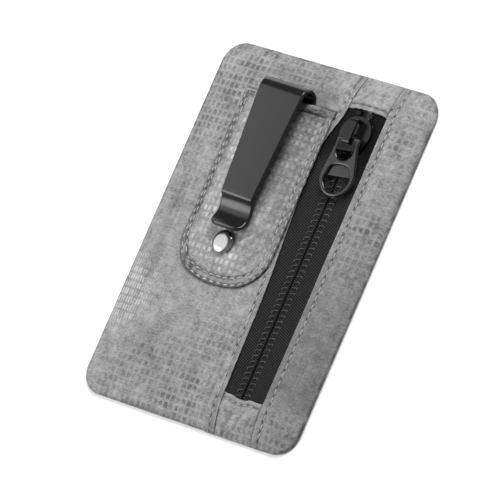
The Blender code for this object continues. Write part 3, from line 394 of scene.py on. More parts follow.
# Studio: floor, surroundings that are dimmer toward the pouch's top, and round softboxes
# with their place, size and power
FLOOR_HALF = 4.0
FLOOR_Z = -0.0001
SOFTBOXES = (
    ("key_softbox", (-1.25, -0.85, 1.25), 1.35, 20.0),
    ("top_softbox", (-1.20, -0.30, 1.50), 1.95, 13.0),
    ("near_softbox", (0.12, 0.52, 0.42), 0.35, 4.8),
)
WORLD_BRIGHT = 0.30
WORLD_DIM = 0.06
WORLD_DIM_FROM = -0.1
WORLD_DIM_TO = 0.5

# Creases of each cloth in millimetres: start and end as X and Y, width and depth
CREASES_LEFT = (
    (11.0, -48.0, 8.5, -64.0, 1.6, 0.45),
    (12.0, -33.0, 2.0, -45.0, 3.0, 0.2),
    (-35.0, 60.0, -15.0, 64.0, 3.5, 0.18),
    (-44.0, 20.0, -40.0, -30.0, 4.0, 0.16),
    (-30.0, -40.0, -18.0, -60.0, 4.5, 0.18),
    (4.0, 60.0, 11.0, 56.0, 2.0, 0.28),
    (13.0, -24.0, 4.5, -33.0, 1.6, 0.25),
    (13.0, -40.0, 7.0, -50.0, 1.4, 0.3),
    (-33.0, 44.0, -42.0, 50.0, 2.0, 0.22),
)
CREASES_RIGHT = (
    (42.0, 35.0, 46.0, -15.0, 3.0, 0.16),
    (39.0, -10.0, 44.0, -30.0, 2.8, 0.18),
    (37.0, 56.0, 46.0, 50.0, 2.5, 0.18),
)
CREASES_TAB = (
    (16.0, -58.5, 20.0, -63.5, 0.9, 0.3),
    (21.5, -58.5, 19.5, -66.5, 1.0, 0.32),
    (26.2, -59.0, 23.2, -65.5, 0.9, 0.3),
    (30.2, -59.0, 28.5, -65.0, 0.8, 0.26),
    (15.0, -66.0, 25.0, -68.5, 1.4, 0.22),
    (18.5, 60.0, 21.5, 65.0, 1.0, 0.26),
    (28.5, 60.0, 25.5, 66.0, 1.0, 0.26),
)
CREASES_PATCH = (
    (-6.5, -1.5, 0.5, 4.0, 0.8, 0.4),
    (-4.0, -5.0, 4.0, 5.0, 1.1, 0.45),
    (-1.5, -12.0, 5.5, -1.0, 1.0, 0.4),
    (0.0, 6.0, 7.0, 11.0, 1.3, 0.35),
    (-13.0, -10.0, -11.0, -17.5, 1.1, 0.22),
    (-29.0, 37.0, -23.0, 43.0, 1.3, 0.3),
    (1.5, 33.0, 6.5, 40.0, 1.2, 0.22),
    (3.0, 12.0, 8.0, 23.0, 1.4, 0.18),
)
CREASE_SHADE_SHARE = 0.7
# Crumples along the patch's top edge: place across, reach and rise, in millimetres
PATCH_CRUMPLES = (
    (-30.0, 2.4, 0.15),
    (1.2, 3.0, 1.1),
    (6.0, 2.8, 0.3),
)
CRUMPLE_DEPTH = 0.00042
CRUMPLE_FOLDS = ((1.0, 0.0011), (0.6, 0.0006))
CRUMPLE_BELOW_TOP = 0.0012
CRUMPLE_FLATNESS = 1.4

# Where the ripstop's squares show: place and reach in millimetres, then the strength,
# dark above zero and light below
SQUARES = (
    (-40.0, 60.0, 22.0, 0.75),
    (-45.0, 40.0, 14.0, 0.60),
    (-12.0, 65.0, 12.0, 0.65),
    (10.0, 62.0, 8.0, 0.50),
    (-44.0, 8.0, 15.0, 0.50),
    (-48.0, -30.0, 15.0, -2.60),
    (-32.0, -58.0, 17.0, 0.70),
    (-4.0, -60.0, 17.0, 0.95),
    (8.0, -40.0, 12.0, 0.80),
    (45.0, 52.0, 14.0, 0.65),
    (43.0, 10.0, 18.0, 0.60),
    (43.0, -35.0, 20.0, -0.60),
    (23.0, -70.0, 6.0, 1.10),
    (43.0, -64.0, 8.0, 1.20),
)
SQUARES_BASE = 0.08
SQUARES_LEVEL = 0.75
SQUARES_HILLS = (0.45, 0.0080)


# Smooth shapes and noise over the cloth, for whole arrays of places

def smooth(value):
    value = np.clip(value, 0.0, 1.0)
    return value * value * (3.0 - 2.0 * value)


def between(value, window):
    """0 before the window's first value, 1 past its second and smooth between."""
    return smooth((value - window[0]) / (window[1] - window[0]))


def band(distance, width, runs):
    """1 within a band from an edge, rising over the first run and falling over the second."""
    return smooth(distance / runs[0]) * smooth((width - distance) / runs[1])


def mixed(low, high, share):
    return low + (high - low) * share


def hump(distance, width):
    return np.exp(-(distance / width) ** 2)


def deepest(*shades):
    return np.maximum.reduce(shades)


def cloth_noise(x, y, size, seed):
    """Smooth random hills about size apart, from -1 to 1, the same in every run."""
    lattice = np.random.RandomState(seed).uniform(-1.0, 1.0, (LATTICE, LATTICE))
    u = x / size + LATTICE / 2
    v = y / size + LATTICE / 2
    column = np.floor(u).astype(int)
    row = np.floor(v).astype(int)
    across = smooth(u - column)
    along = smooth(v - row)
    column %= LATTICE
    row %= LATTICE
    next_column = (column + 1) % LATTICE
    next_row = (row + 1) % LATTICE
    low = mixed(lattice[row, column], lattice[row, next_column], across)
    high = mixed(lattice[next_row, column], lattice[next_row, next_column], across)
    return mixed(low, high, along)


def hills(x, y, seed, *octaves):
    """Noise of several sizes together, each octave given by its height and size."""
    return sum(height * cloth_noise(x, y, size, seed + index) for index, (height, size) in enumerate(octaves))


def patchy_shade(x, y, seed, size, base, gain):
    """Soft random patches, 0 to 1, that make painted shade uneven; more of them for a higher base."""
    return smooth(base + gain * cloth_noise(x, y, size, seed))


def near_crease(x, y, row, width_share=1.0):
    """How near places are to one crease, from 0 to 1, fading toward the crease's ends."""
    from_x, from_y, to_x, to_y, width = np.array(row[:5]) / 1000
    run_x = to_x - from_x
    run_y = to_y - from_y
    share = ((x - from_x) * run_x + (y - from_y) * run_y) / (run_x ** 2 + run_y ** 2)
    inside = np.clip(share, 0.0, 1.0)
    away = np.hypot(x - from_x - inside * run_x, y - from_y - inside * run_y)
    return hump(away, width_share * width) * np.sin(math.pi * np.clip(share, 0.02, 0.98)) ** 0.5


def creased(x, y, creases):
    """The creases' soft valleys, in metres of height."""
    return -sum(row[5] / 1000 * near_crease(x, y, row) for row in creases)


def crease_shade(x, y, creases, strength):
    """Painted shade along the creases, deepest in their middles."""
    return strength * deepest(*[near_crease(x, y, row, CREASE_SHADE_SHARE) for row in creases])


# The pouch's outline and its front surface

def side_x(y):
    """How far the pouch's side edge lies from the middle at a height y."""
    past = np.maximum(0.0, np.abs(y) - (HALF_Y - CORNER_RADIUS))
    return HALF_X - CORNER_RADIUS + np.sqrt(np.maximum(0.0, CORNER_RADIUS ** 2 - past ** 2))


def edge_distance(x, y):
    """How far a place lies inside the pouch's outline."""
    corner_x = np.abs(x) - (HALF_X - CORNER_RADIUS)
    corner_y = np.abs(y) - (HALF_Y - CORNER_RADIUS)
    straight = np.minimum(HALF_X - np.abs(x), HALF_Y - np.abs(y))
    rounded = CORNER_RADIUS - np.hypot(corner_x, corner_y)
    return np.maximum(0.0, np.where((corner_x > 0.0) & (corner_y > 0.0), rounded, straight))


def edge_round(distance):
    """A quarter circle's rise from the seam, over the seam's own radius."""
    share = np.clip(1.0 - distance / SEAM_ROUND, 0.0, 1.0)
    return SEAM_ROUND * np.sqrt(1.0 - share ** 2)


def front_height(x, y):
    middle = mixed(CLIP_SIDE_HEIGHT, ZIP_SIDE_HEIGHT, between(x, HEIGHT_STEP_X))
    distance = edge_distance(x, y)
    pillow = 1.0 - np.clip(1.0 - distance / RIM_WIDTH, 0.0, 1.0) ** RIM_POWER
    return mixed(SEAM_Z + edge_round(distance), middle, pillow)


def left_fold_x(y):
    """The left flap's fold: bowed away from the zip, most where the patch holds it back."""
    relative = y / OPENING_TOP
    held = HELD_BOW * between(y, HELD_ABOVE) * between(y, HELD_BELOW)
    return LEFT_FOLD_X - LEFT_FOLD_BOW * (1.0 - relative * relative) - held


def right_fold_x(y):
    return RIGHT_FOLD_X + 0.0 * y


def outside_patch(x, y):
    """How far a place lies outside the patch's edge; below 0 inside it."""
    aside = x - PATCH_X
    below = np.maximum(0.0, PATCH_LOW.y + PATCH_END_LENGTH - y)
    size = np.abs(aside / PATCH_HALF) ** PATCH_END_POWER + (below / PATCH_END_LENGTH) ** PATCH_END_POWER
    size = np.maximum(size, 0.0001) ** (1.0 / PATCH_END_POWER)
    return np.maximum(np.hypot(aside, below) * (1.0 - 1.0 / size), y - PATCH_HIGH.y)


def patch_gap_shade(x, y):
    """Painted shadow in the gap under the patch's edge, deepest on its right and lower sides."""
    across = (x - PATCH_LOW.x) / (PATCH_HIGH.x - PATCH_LOW.x)
    turned_away = smooth(1.0 + across - (y - PATCH_LOW.y) / HALF_Y)
    gap = hump(np.maximum(0.0, outside_patch(x, y)), PATCH_GAP)
    return (PATCH_GAP_SHADE + PATCH_GAP_SHADE_TURNED * turned_away) * gap


def stitch_beat(along):
    """1 between two stitches and -1 at a stitch's middle."""
    return np.cos(2.0 * math.pi * along / STITCH_PITCH)


def seam_relief(distance, along, inset, hem=HEM_BULGE):
    """Groove, puckers and hem round a row of stitches at an inset from a folded edge."""
    beat = stitch_beat(along)
    away = distance - inset
    groove = -GROOVE_DEPTH * hump(away, GROOVE_WIDTH) * mixed(0.5, 1.0, 0.5 + 0.5 * beat)
    pucker = PUCKER_HEIGHT * beat * hump(away, PUCKER_REACH)
    share = np.clip(distance / inset, 0.0, 1.0)
    roll = hem * np.sin(math.pi * share) * mixed(1.0, 0.7, 0.5 + 0.5 * beat)
    return groove + pucker + roll


def seam_shade(distance, along, inset):
    """Painted shade in the groove of a row of stitches, from 0 to 1."""
    return hump(distance - inset, ROW_SHADE_WIDTH) * mixed(0.6, 1.0, 0.5 + 0.5 * stitch_beat(along))


def cloth_relief(x, y, creases, seed):
    """Small unevenness that any panel has, with its own creases, in metres of height."""
    relief = hills(x, y, seed, *PANEL_HILLS)
    return (relief + creased(x, y, creases)) * smooth(edge_distance(x, y) / PANEL_FLAT_RIM)


def squares_at(x, y, seed):
    """How strongly the ripstop's squares show at a place."""
    shown = SQUARES_BASE + 0.0 * x
    for at_x, at_y, reach, strength in SQUARES:
        shown += strength * hump(np.hypot(x - at_x / 1000, y - at_y / 1000), reach / 1000)
    return shown * (SQUARES_LEVEL + hills(x, y, seed, SQUARES_HILLS))


# Meshes

def linked(name, data):
    """A new object of the scene with its data."""
    item = bpy.data.objects.new(name, data)
    bpy.context.scene.collection.objects.link(item)
    return item


def spread(start, end, shares):
    """A grid of places between a start and an end for each row, at the same shares in every row."""
    start, end = np.broadcast_arrays(start, end)
    return start[:, None] + (end - start)[:, None] * shares[None, :]


def repeated(values, columns):
    return np.repeat(values[:, None], columns, axis=1)


def joined(*parts):
    return np.stack(parts, axis=-1)


def surface(name, points, shade=None, squares=None, wrap=False, flip=None):
    """A mesh through a grid of points, rows by columns, with its painted shade and squares as attributes.

    Wrap closes every row to a ring; flip is the axis that is turned round so that the front faces out.
    """
    if flip is not None:
        points = np.flip(points, flip)
    rows, columns = points.shape[:2]
    index = np.arange(rows * columns).reshape(rows, columns)
    if wrap:
        index = np.concatenate([index, index[:, :1]], axis=1)
    quads = joined(index[:-1, :-1], index[:-1, 1:], index[1:, 1:], index[1:, :-1])
    mesh = bpy.data.meshes.new(name)
    mesh.from_pydata(points.reshape(-1, 3).tolist(), [], quads.reshape(-1, 4).tolist())
    # The groove attribute holds painted shade: darkening in grooves, creases, gaps, along edges and on shaded
    # sides
    for word, values in (("groove", shade), ("squares", squares)):
        if values is None:
            continue
        if flip is not None:
            values = np.flip(values, flip)
        layer = mesh.attributes.new(word, "FLOAT", "POINT")
        layer.data.foreach_set("value", values.reshape(-1).astype(np.float32))
    mesh.shade_smooth()
    return linked(name, mesh)


def mesh_item(name, bm):
    bmesh.ops.recalc_face_normals(bm, faces=bm.faces)
    mesh = bpy.data.meshes.new(name)
    bm.to_mesh(mesh)
    bm.free()
    mesh.shade_smooth()
    return linked(name, mesh)


def mend(item, merge=0.0, caps=(), face_up=False):
    """Close the rings of vertices in caps, join places closer than merge and turn the faces out."""
    bm = bmesh.new()
    bm.from_mesh(item.data)
    bm.verts.ensure_lookup_table()
    for cap in caps:
        bm.faces.new([bm.verts[index] for index in cap])
    if merge > 0.0:
        bmesh.ops.remove_doubles(bm, verts=bm.verts, dist=merge)
    bmesh.ops.recalc_face_normals(bm, faces=bm.faces)
    if face_up and sum(face.normal.z for face in bm.faces) < 0.0:
        bmesh.ops.reverse_faces(bm, faces=bm.faces)
    bm.to_mesh(item.data)
    bm.free()
    item.data.shade_smooth()


def dress(item, look, *nodes, body="pouch", slot="ripstop"):
    """Finish of a piece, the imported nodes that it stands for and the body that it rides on."""
    item.data.materials.clear()
    item.data.materials.append(look)
    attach(item, body)
    if nodes:
        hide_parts(*nodes)


def make_cloth(name, look, node, points, shade=None, squares=None, slot="ripstop",
               thickness=CLOTH_THICKNESS, wrap=False, flip=None):
    """A sheet through a grid of points, thickened below them."""
    item = surface(name, points, shade, squares, wrap, flip)
    step = item.modifiers.new("cloth_thickness", "SOLIDIFY")
    step.thickness = thickness
    step.offset = -1.0
    dress(item, look, node, slot=slot)
    return item


def keep(node, look, edge):
    """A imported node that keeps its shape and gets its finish, with soft edges where edge is above 0."""
    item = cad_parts[node]
    item.data.materials.clear()
    item.data.materials.append(look)
    if edge > 0.0:
        step = item.modifiers.new("soft_edges", "BEVEL")
        step.width = edge
        step.segments = 3
        step.limit_method = "ANGLE"
        step.angle_limit = math.radians(40.0)
        step.harden_normals = True


# Node graphs

class Graph:
    """The nodes of a material or of the world, with a short call for each kind in use."""

    def __init__(self, owner, shader):
        owner.use_nodes = True
        self.owner = owner
        self.tree = owner.node_tree
        self.shader = self.tree.nodes[shader]

    def painted(self, inputs):
        """The material or world, with the inputs of its shader."""
        self.fill(self.shader, inputs)
        return self.owner

    def fill(self, node, inputs):
        """Link each input to another node's output, or set it to a constant."""
        for key, value in inputs.items():
            if isinstance(value, bpy.types.NodeSocket):
                self.tree.links.new(value, node.inputs[key])
            else:
                node.inputs[key].default_value = value

    def add(self, kind, inputs, operation=None):
        node = self.tree.nodes.new("ShaderNode" + kind)
        if operation is not None:
            node.operation = operation
        self.fill(node, inputs)
        return node

    def calc(self, operation, *values):
        return self.add("Math", dict(enumerate(values)), operation).outputs[0]

    def one_less(self, value):
        return self.calc("SUBTRACT", 1.0, value)

    def times(self, first, second):
        return self.calc("MULTIPLY", first, second)

    def scaled(self, value, factor, added):
        return self.calc("MULTIPLY_ADD", value, factor, added)

    def about(self, value, width, level):
        """A value from 0 to 1, turned into one of a width about a level."""
        return self.scaled(value, width, level - width / 2)

    def wave(self, value, pitch):
        """A sine wave along a value, from -1 to 1."""
        return self.calc("SINE", self.times(value, 2.0 * math.pi / pitch))

    def ramp(self, value, low, high):
        """0 below low, 1 above high and smooth between."""
        node = self.add("MapRange", {"Value": value, "From Min": low, "From Max": high})
        node.interpolation_type = "SMOOTHSTEP"
        return node.outputs["Result"]

    def mix(self, share, first, second):
        """A colour between two colours; the share is kept between 0 and 1."""
        node = self.add("Mix", {})
        node.data_type = "RGBA"
        self.fill(node, {0: share, 6: first, 7: second})
        return node.outputs[2]

    def parts(self, vector):
        return self.add("SeparateXYZ", {0: vector}).outputs


class Look(Graph):
    """A new material's nodes, with the place on the object at hand."""

    def __init__(self, name, roughness, metallic=0.0):
        super().__init__(bpy.data.materials.new(name), "Principled BSDF")
        self.painted({"Roughness": roughness, "Metallic": metallic})
        self.place = self.add("TexCoord", {}).outputs["Object"]

    def noise(self, size, detail, roughness, place=None):
        """Noise whose features are about size across, from 0 to 1."""
        inputs = {"Scale": 1.0 / size, "Detail": detail, "Roughness": roughness}
        inputs["Vector"] = self.place if place is None else place
        return self.add("TexNoise", inputs).outputs["Fac"]

    def attribute(self, name):
        node = self.add("Attribute", {})
        node.attribute_name = name
        return node.outputs["Fac"]

    def bump(self, height, distance, strength):
        node = self.add("Bump", {"Height": height, "Distance": distance, "Strength": strength})
        return node.outputs["Normal"]


def grey(level, tint=0.0):
    return (level, level, level * (1.0 + tint), 1.0)


# Materials

CLOTH_ROUGHNESS = 0.62
RIPSTOP_PITCHES = (0.00255, 0.00290)
RIPSTOP_LINE = 0.16
RIPSTOP_LINE_SOFTNESS = 0.12
RIPSTOP_WOBBLE = 0.0009
RIPSTOP_WOBBLE_SIZE = 0.006
WEAVE_PITCH = 0.00030
GRAIN = 1.0
MOTTLE = 0.75
MOTTLE_SIZE = 0.0045
CLOTH_LEVEL = 0.36
CRINKLE_SIZE = 0.00060
CRINKLE_STRETCH = 0.50
SQUARE_TONE = 0.42
SQUARE_LEAST = 0.3
SPLIT_FROM = 0.18
SPLIT_TO = 0.42
# Strength of the painted shade in the cloth's colour
PAINTED_SHADE_STRENGTH = 0.92
WEAVE_BUMP = 0.00001
CRINKLE_BUMP = 0.00018
LINE_BUMP = 0.00007


def ripstop_grid(look, gap):
    """The thick threads' lines, the lot drawn for each square, and the wobbly place in X and Y."""
    wobble = look.add("TexNoise", {"Vector": look.place, "Scale": 1.0 / RIPSTOP_WOBBLE_SIZE})
    inputs = {0: wobble.outputs["Color"], 1: (RIPSTOP_WOBBLE, RIPSTOP_WOBBLE, 0.0), 2: look.place}
    parts = look.parts(look.add("VectorMath", inputs, "MULTIPLY_ADD").outputs[0])
    lines = []
    cells = {}
    for axis in (0, 1):
        value = look.calc("DIVIDE", parts[axis], RIPSTOP_PITCHES[axis])
        centred = look.calc("ABSOLUTE", look.calc("SUBTRACT", look.calc("FRACT", value), 0.5))
        lines.append(look.ramp(centred, 0.5 - gap - RIPSTOP_LINE_SOFTNESS, 0.5 - gap * 0.4))
        cells[axis] = look.calc("FLOOR", value)
    cell = look.add("CombineXYZ", cells).outputs[0]
    lottery = look.add("TexWhiteNoise", {})
    lottery.noise_dimensions = "2D"
    look.fill(lottery, {"Vector": cell})
    return look.calc("MAXIMUM", *lines), lottery.outputs["Value"], parts


def part_light_squares(look, square, across):
    """The squares that show light, below 0, parted in two across the pouch."""
    half_pitch = look.calc("DIVIDE", across, RIPSTOP_PITCHES[0] / 2)
    from_middle = look.calc("ABSOLUTE", look.calc("SUBTRACT", look.calc("FRACT", half_pitch), 0.5))
    parted = look.one_less(look.ramp(from_middle, SPLIT_FROM, SPLIT_TO))
    light = look.times(look.calc("MINIMUM", square, 0.0), parted)
    return look.calc("ADD", look.calc("MAXIMUM", square, 0.0), light)


def ripstop(name, dark, light, split=False, gap=RIPSTOP_LINE):
    """Ripstop nylon: a raised grid of thicker threads, dull squares, fine crinkles and painted shade."""
    look = Look(name, CLOTH_ROUGHNESS)
    grid, lot, parts = ripstop_grid(look, gap)
    weave = look.times(look.wave(parts[0], WEAVE_PITCH), look.wave(parts[1], WEAVE_PITCH))
    stretched = look.add("VectorMath", {0: look.place, 1: (CRINKLE_STRETCH, 1.0, 1.0)}, "MULTIPLY")
    crinkle = look.noise(CRINKLE_SIZE, 3.0, 0.7, stretched.outputs[0])
    cloud = look.noise(MOTTLE_SIZE, 3.0, 0.6)
    drawn = look.scaled(lot, 1.0 - SQUARE_LEAST, SQUARE_LEAST)
    square = look.times(look.one_less(grid), drawn)
    square = look.times(square, look.attribute("squares"))
    if split:
        square = part_light_squares(look, square, parts[0])
    mottle = look.calc("ADD", look.about(crinkle, GRAIN, 0.0), look.about(cloud, MOTTLE, 0.0))
    share = look.calc("ADD", look.scaled(square, -SQUARE_TONE, CLOTH_LEVEL), mottle)
    tone = look.mix(share, grey(dark), grey(light))
    # Painted shade: the groove attribute darkens the colour toward near black
    shade = look.times(look.attribute("groove"), PAINTED_SHADE_STRENGTH)
    normal = look.bump(weave, WEAVE_BUMP, 0.5)
    for height, distance in ((crinkle, CRINKLE_BUMP), (grid, LINE_BUMP)):
        inputs = {"Height": height, "Distance": distance, "Strength": 0.8, "Normal": normal}
        normal = look.add("Bump", inputs).outputs["Normal"]
    return look.painted({
        "Base Color": look.mix(shade, tone, grey(dark * 0.06)),
        "Normal": normal,
        "Roughness": look.scaled(grid, -0.12, 0.68),
        "Sheen Weight": 0.15,
        "Sheen Roughness": 0.5,
    })


# The ribs' and knots' pitches are measured across the tape, and each slant is its lean along Y
RIB_PITCH = 0.00215
RIB_LEAN = 2.55
RIB_DEPTH = 0.55
KNOT_PITCH = 0.00120
KNOT_LEAN = -0.52
KNOT_DEPTH = 0.18
TWILL_LEVEL = 0.32
FIBRE_SIZE = 0.0005


def twill(name, dark, light):
    """Black zip tape: slanting ribs, each a row of small knots, darkened by painted shade."""
    look = Look(name, CLOTH_ROUGHNESS)
    parts = look.parts(look.place)
    weave = TWILL_LEVEL
    for lean, pitch, depth in ((KNOT_LEAN, KNOT_PITCH, KNOT_DEPTH), (RIB_LEAN, RIB_PITCH, RIB_DEPTH)):
        slant = look.scaled(parts[1], lean, parts[0])
        weave = look.scaled(look.wave(slant, pitch), depth, weave)
    fibre = look.noise(FIBRE_SIZE, 2.0, 0.6)
    share = look.times(weave, look.scaled(fibre, 1.3, 0.1))
    tone = look.mix(share, grey(dark), grey(light))
    # Painted shade: the groove attribute darkens the tape's colour
    shade = look.times(look.attribute("groove"), 0.95)
    return look.painted({
        "Specular IOR Level": 0.10,
        "Base Color": look.mix(shade, tone, grey(dark * 0.2)),
        "Normal": look.bump(weave, 0.00014, 0.9),
        "Roughness": look.scaled(fibre, 0.2, 0.55),
    })


def spun_thread(name, level, roughness):
    """Twisted thread: fine slanting plies."""
    look = Look(name, roughness)
    parts = look.parts(look.place)
    ply = look.wave(look.calc("ADD", parts[0], parts[1]), 0.0004)
    share = look.scaled(ply, 0.3, 0.6)
    return look.painted({
        "Base Color": look.mix(share, grey(level * 0.6), grey(level)),
        "Normal": look.bump(ply, 0.00003, 0.6),
    })


def enamel(name, level, roughness, gloss):
    """Baked black enamel on metal, with a faint orange peel and uneven gloss."""
    look = Look(name, roughness)
    cloud = look.noise(0.006, 3.0, 0.5)
    peel = look.noise(0.0012, 1.0, 0.4)
    return look.painted({
        "Specular IOR Level": gloss,
        "Base Color": look.mix(cloud, grey(level * 0.85), grey(level * 1.15, 0.03)),
        "Roughness": look.about(cloud, 0.08, roughness),
        "Normal": look.bump(peel, 0.00002, 0.25),
    })


def bright_metal(name, level, roughness):
    """Polished metal with faint handling marks."""
    look = Look(name, roughness, 1.0)
    cloud = look.noise(0.002, 4.0, 0.6)
    return look.painted({
        "Base Color": look.mix(cloud, grey(level * 0.93, -0.01), grey(level, -0.01)),
        "Roughness": look.about(cloud, 0.06, roughness),
    })


def coated_lining(name):
    """Silver grey coated lining: a fine weave under a slightly shiny coat."""
    look = Look(name, 0.42, 0.35)
    parts = look.parts(look.place)
    weave = look.times(look.wave(parts[0], 0.0005), look.wave(parts[1], 0.0005))
    cloud = look.noise(0.004, 3.0, 0.5)
    return look.painted({
        "Base Color": look.mix(cloud, grey(0.45, 0.02), grey(0.6, 0.02)),
        "Normal": look.bump(weave, 0.00002, 0.5),
        "Roughness": look.scaled(cloud, 0.15, 0.35),
    })


def make_looks():
    return {
        "ripstop": ripstop("ripstop", 0.080, 0.54, split=True),
        "ripstop_patch": ripstop("ripstop_patch", 0.065, 0.54, gap=PATCH_SQUARE_GAP),
        "thread": spun_thread("grey_thread", 0.62, 0.55),
        "tape": twill("tape_twill", 0.0015, 0.048),
        "black_thread": spun_thread("black_thread", 0.075, 0.40),
        "clip": enamel("clip_enamel", 0.010, 0.24, 0.42),
        "slider": enamel("slider_enamel", 0.010, 0.19, 0.5),
        "plate": enamel("plate_enamel", 0.007, 0.24, 0.27),
        "stop": enamel("stop_enamel", 0.005, 0.34, 0.20),
        "nickel": bright_metal("nickel", 0.42, 0.15),
        "spring": bright_metal("spring_steel", 0.45, 0.25),
        "coil": enamel("coil_plastic", 0.015, 0.4, 0.5),
        "lining": coated_lining("coated_lining"),
    }


# Threads

def thread_run(bm, start, end, radius, bow_height, base_z):
    """One short thread from a start to an end place, bowed up between them."""
    heading = math.atan2(end[1] - start[1], end[0] - start[0])
    before = None
    for step in range(THREAD_STEPS + 1):
        share = step / THREAD_STEPS
        bow = math.sin(math.pi * share)
        size = radius * mixed(THREAD_END_SHARE, 1.0, bow)
        ring = []
        for corner in range(THREAD_SIDES):
            turn = 2.0 * math.pi * corner / THREAD_SIDES
            aside = size * THREAD_FLATNESS * math.cos(turn)
            x = mixed(start[0], end[0], share) - aside * math.sin(heading)
            y = mixed(start[1], end[1], share) + aside * math.cos(heading)
            ring.append(bm.verts.new((x, y, base_z + bow_height * bow + size * math.sin(turn))))
        if before is None:
            bm.faces.new(ring)
        else:
            for corner in range(THREAD_SIDES):
                after = (corner + 1) % THREAD_SIDES
                bm.faces.new((before[corner], before[after], ring[after], ring[corner]))
        before = ring
    bm.faces.new(before)


def distances_along(line):
    """Distance from a line's first place to each of its places."""
    return np.concatenate([[0.0], np.cumsum(np.hypot(*np.diff(line, axis=0).T))])


def stitches(name, look, line, height_at, pitch=STITCH_PITCH, radius=THREAD_RADIUS, share=STITCH_SHARE):
    """A thread for every stitch along a line of places, with both ends sunk in the cloth."""
    line = np.array(line)
    along = distances_along(line)
    bm = bmesh.new()
    for index in range(int(along[-1] / pitch)):
        ends = (index + 0.5 + np.array([-0.5, 0.5]) * share) * pitch
        xs = np.interp(ends, along, line[:, 0])
        ys = np.interp(ends, along, line[:, 1])
        base = float(np.mean(height_at(xs, ys))) - STITCH_SINK * radius
        thread_run(bm, (xs[0], ys[0]), (xs[1], ys[1]), radius, STITCH_RISE * radius, base)
    dress(mesh_item(name, bm), look)


# Cloths with a folded edge

def cloth_rows():
    """Heights Y of the cloth's rows: even along the sides, closer round the corners."""
    straight = HALF_Y - CORNER_RADIUS
    middle = np.linspace(-straight, straight, int(2 * straight / CLOTH_STEP) + 1)
    angles = np.linspace(0.0, math.pi / 2, CORNER_ROWS + 1)[1:]
    arc = straight + CORNER_RADIUS * np.sin(angles)
    top = np.unique(np.concatenate([arc, HALF_Y - np.array(EDGE_INSETS[1:4])]))
    return np.concatenate([-top[::-1], middle, top])


def inset_columns(width):
    """Distances from the outer edge toward the fold, closer at the edge and in the hem."""
    flat = width - HEM_ZONE
    steps = int((flat - EDGE_INSETS[-1]) / CLOTH_STEP)
    middle = np.linspace(EDGE_INSETS[-1], flat, steps + 1)[1:]
    fine_steps = int((HEM_ZONE - HEM_RADIUS) / HEM_STEP)
    hem = np.linspace(flat, width - HEM_RADIUS, fine_steps + 1)[1:]
    return np.concatenate([EDGE_INSETS, middle, hem])


def hem_round(fold, height, inward, steps, hem_return):
    """Places and heights of the columns that roll round a folded edge and return under it.

    Inward is +1 or -1, the way from the cloth's outer edge to its fold.
    """
    columns = []
    for turn in np.radians(np.linspace(HEM_TURN_FROM, -90.0, steps)):
        place = fold - inward * HEM_RADIUS * (1.0 - math.cos(turn))
        columns.append((place, height - HEM_RADIUS * (1.0 - math.sin(turn))))
    for back in HEM_BACKS + (hem_return,):
        columns.append((fold - inward * back, height - 2.0 * HEM_RADIUS))
    return columns


def hemmed_cloth(name, look, node, points, rolled, shade, squares, flip):
    """A cloth with its rolled hem added behind its last column."""
    points = np.concatenate([points] + [column[:, None, :] for column in rolled], axis=1)
    flat = np.zeros((len(points), len(rolled)))
    shade = np.concatenate([shade, flat], axis=1)
    squares = np.concatenate([squares, flat], axis=1)
    make_cloth(name, look, node, points, shade, squares, flip=flip)


# Front panels

def flap_shade(x, y, side, from_fold, inset, creases, seed):
    """Painted shade of a panel, 0 to 1: seams, hem, creases, and painted shadow of what lies over it."""
    shade_patches = patchy_shade(x, y, seed + 5, *FLAP_SHADE_PATCHES)
    from_edge = edge_distance(x, y)
    lip = between(from_fold, LIP_FROM) * smooth((inset - from_fold) / LIP_END_RUN)
    shade = deepest(seam_shade(from_fold, y - FLAP_STITCH_START, inset),
                    FLAP_ROW_SHADE * shade_patches * hump(from_fold - inset, FLAP_ROW_SHADE_WIDTH),
                    crease_shade(x, y, creases, FLAP_CREASE_SHADE),
                    EDGE_SHADE * (0.35 + shade_patches) * hump(from_edge - EDGE_SHADE_INSET, EDGE_SHADE_WIDTH),
                    LIP_SHADE * lip)
    if side < 0.0:
        return deepest(shade, patch_gap_shade(x, y))
    # Painted shade: the right flap grows darker downward, eases near the bottom and darkens along its edge
    low = between(y, LOW_SHADE_GROWS) * (1.0 - LOW_SHADE_EASE * between(y, LOW_SHADE_EASES))
    edge = (0.45 + 0.55 * shade_patches) * hump(from_edge, RIGHT_EDGE_REACH)
    return deepest(shade, LOW_SHADE * low, RIGHT_EDGE_SHADE * edge)


def make_flap(look, word, side, fold_x, inset, seed, creases):
    """A front panel from the pouch's side edge to the folded edge beside the zip."""
    rows = cloth_rows()
    folds = fold_x(rows)
    edges = side * side_x(rows)
    width = float(np.max(np.abs(folds - edges)))
    x = spread(edges, folds, inset_columns(width) / width)
    y = repeated(rows, x.shape[1])
    from_fold = np.abs(folds[:, None] - x)
    height = front_height(x, y) + cloth_relief(x, y, creases, seed)
    fade = smooth(edge_distance(x, y) / SEAM_FADE_RIM)
    height += seam_relief(from_fold, y - FLAP_STITCH_START, inset) * fade
    rolled = hem_round(folds, height[:, -1], -side, 7, HEM_RETURN)
    hemmed_cloth("front_" + word + "_cloth", look, "front_panel_" + word, joined(x, y, height),
                 [joined(place, rows, low) for place, low in rolled],
                 flap_shade(x, y, side, from_fold, inset, creases, seed),
                 squares_at(x, y, seed + 7) * smooth(from_fold / inset - 0.6),
                 1 if side > 0.0 else None)


def make_flap_stitches(look, word, side, fold_x, inset, seed):
    """The row of stitches beside a front panel's folded edge."""

    def groove_at(x, y):
        return front_height(x, y) - 0.6 * GROOVE_DEPTH + 0.6 * cloth_relief(x, y, (), seed)

    ys = np.linspace(FLAP_STITCH_START, -FLAP_STITCH_START, 90)
    stitches(word + "_flap_stitches", look, joined(fold_x(ys) + side * inset, ys), groove_at)


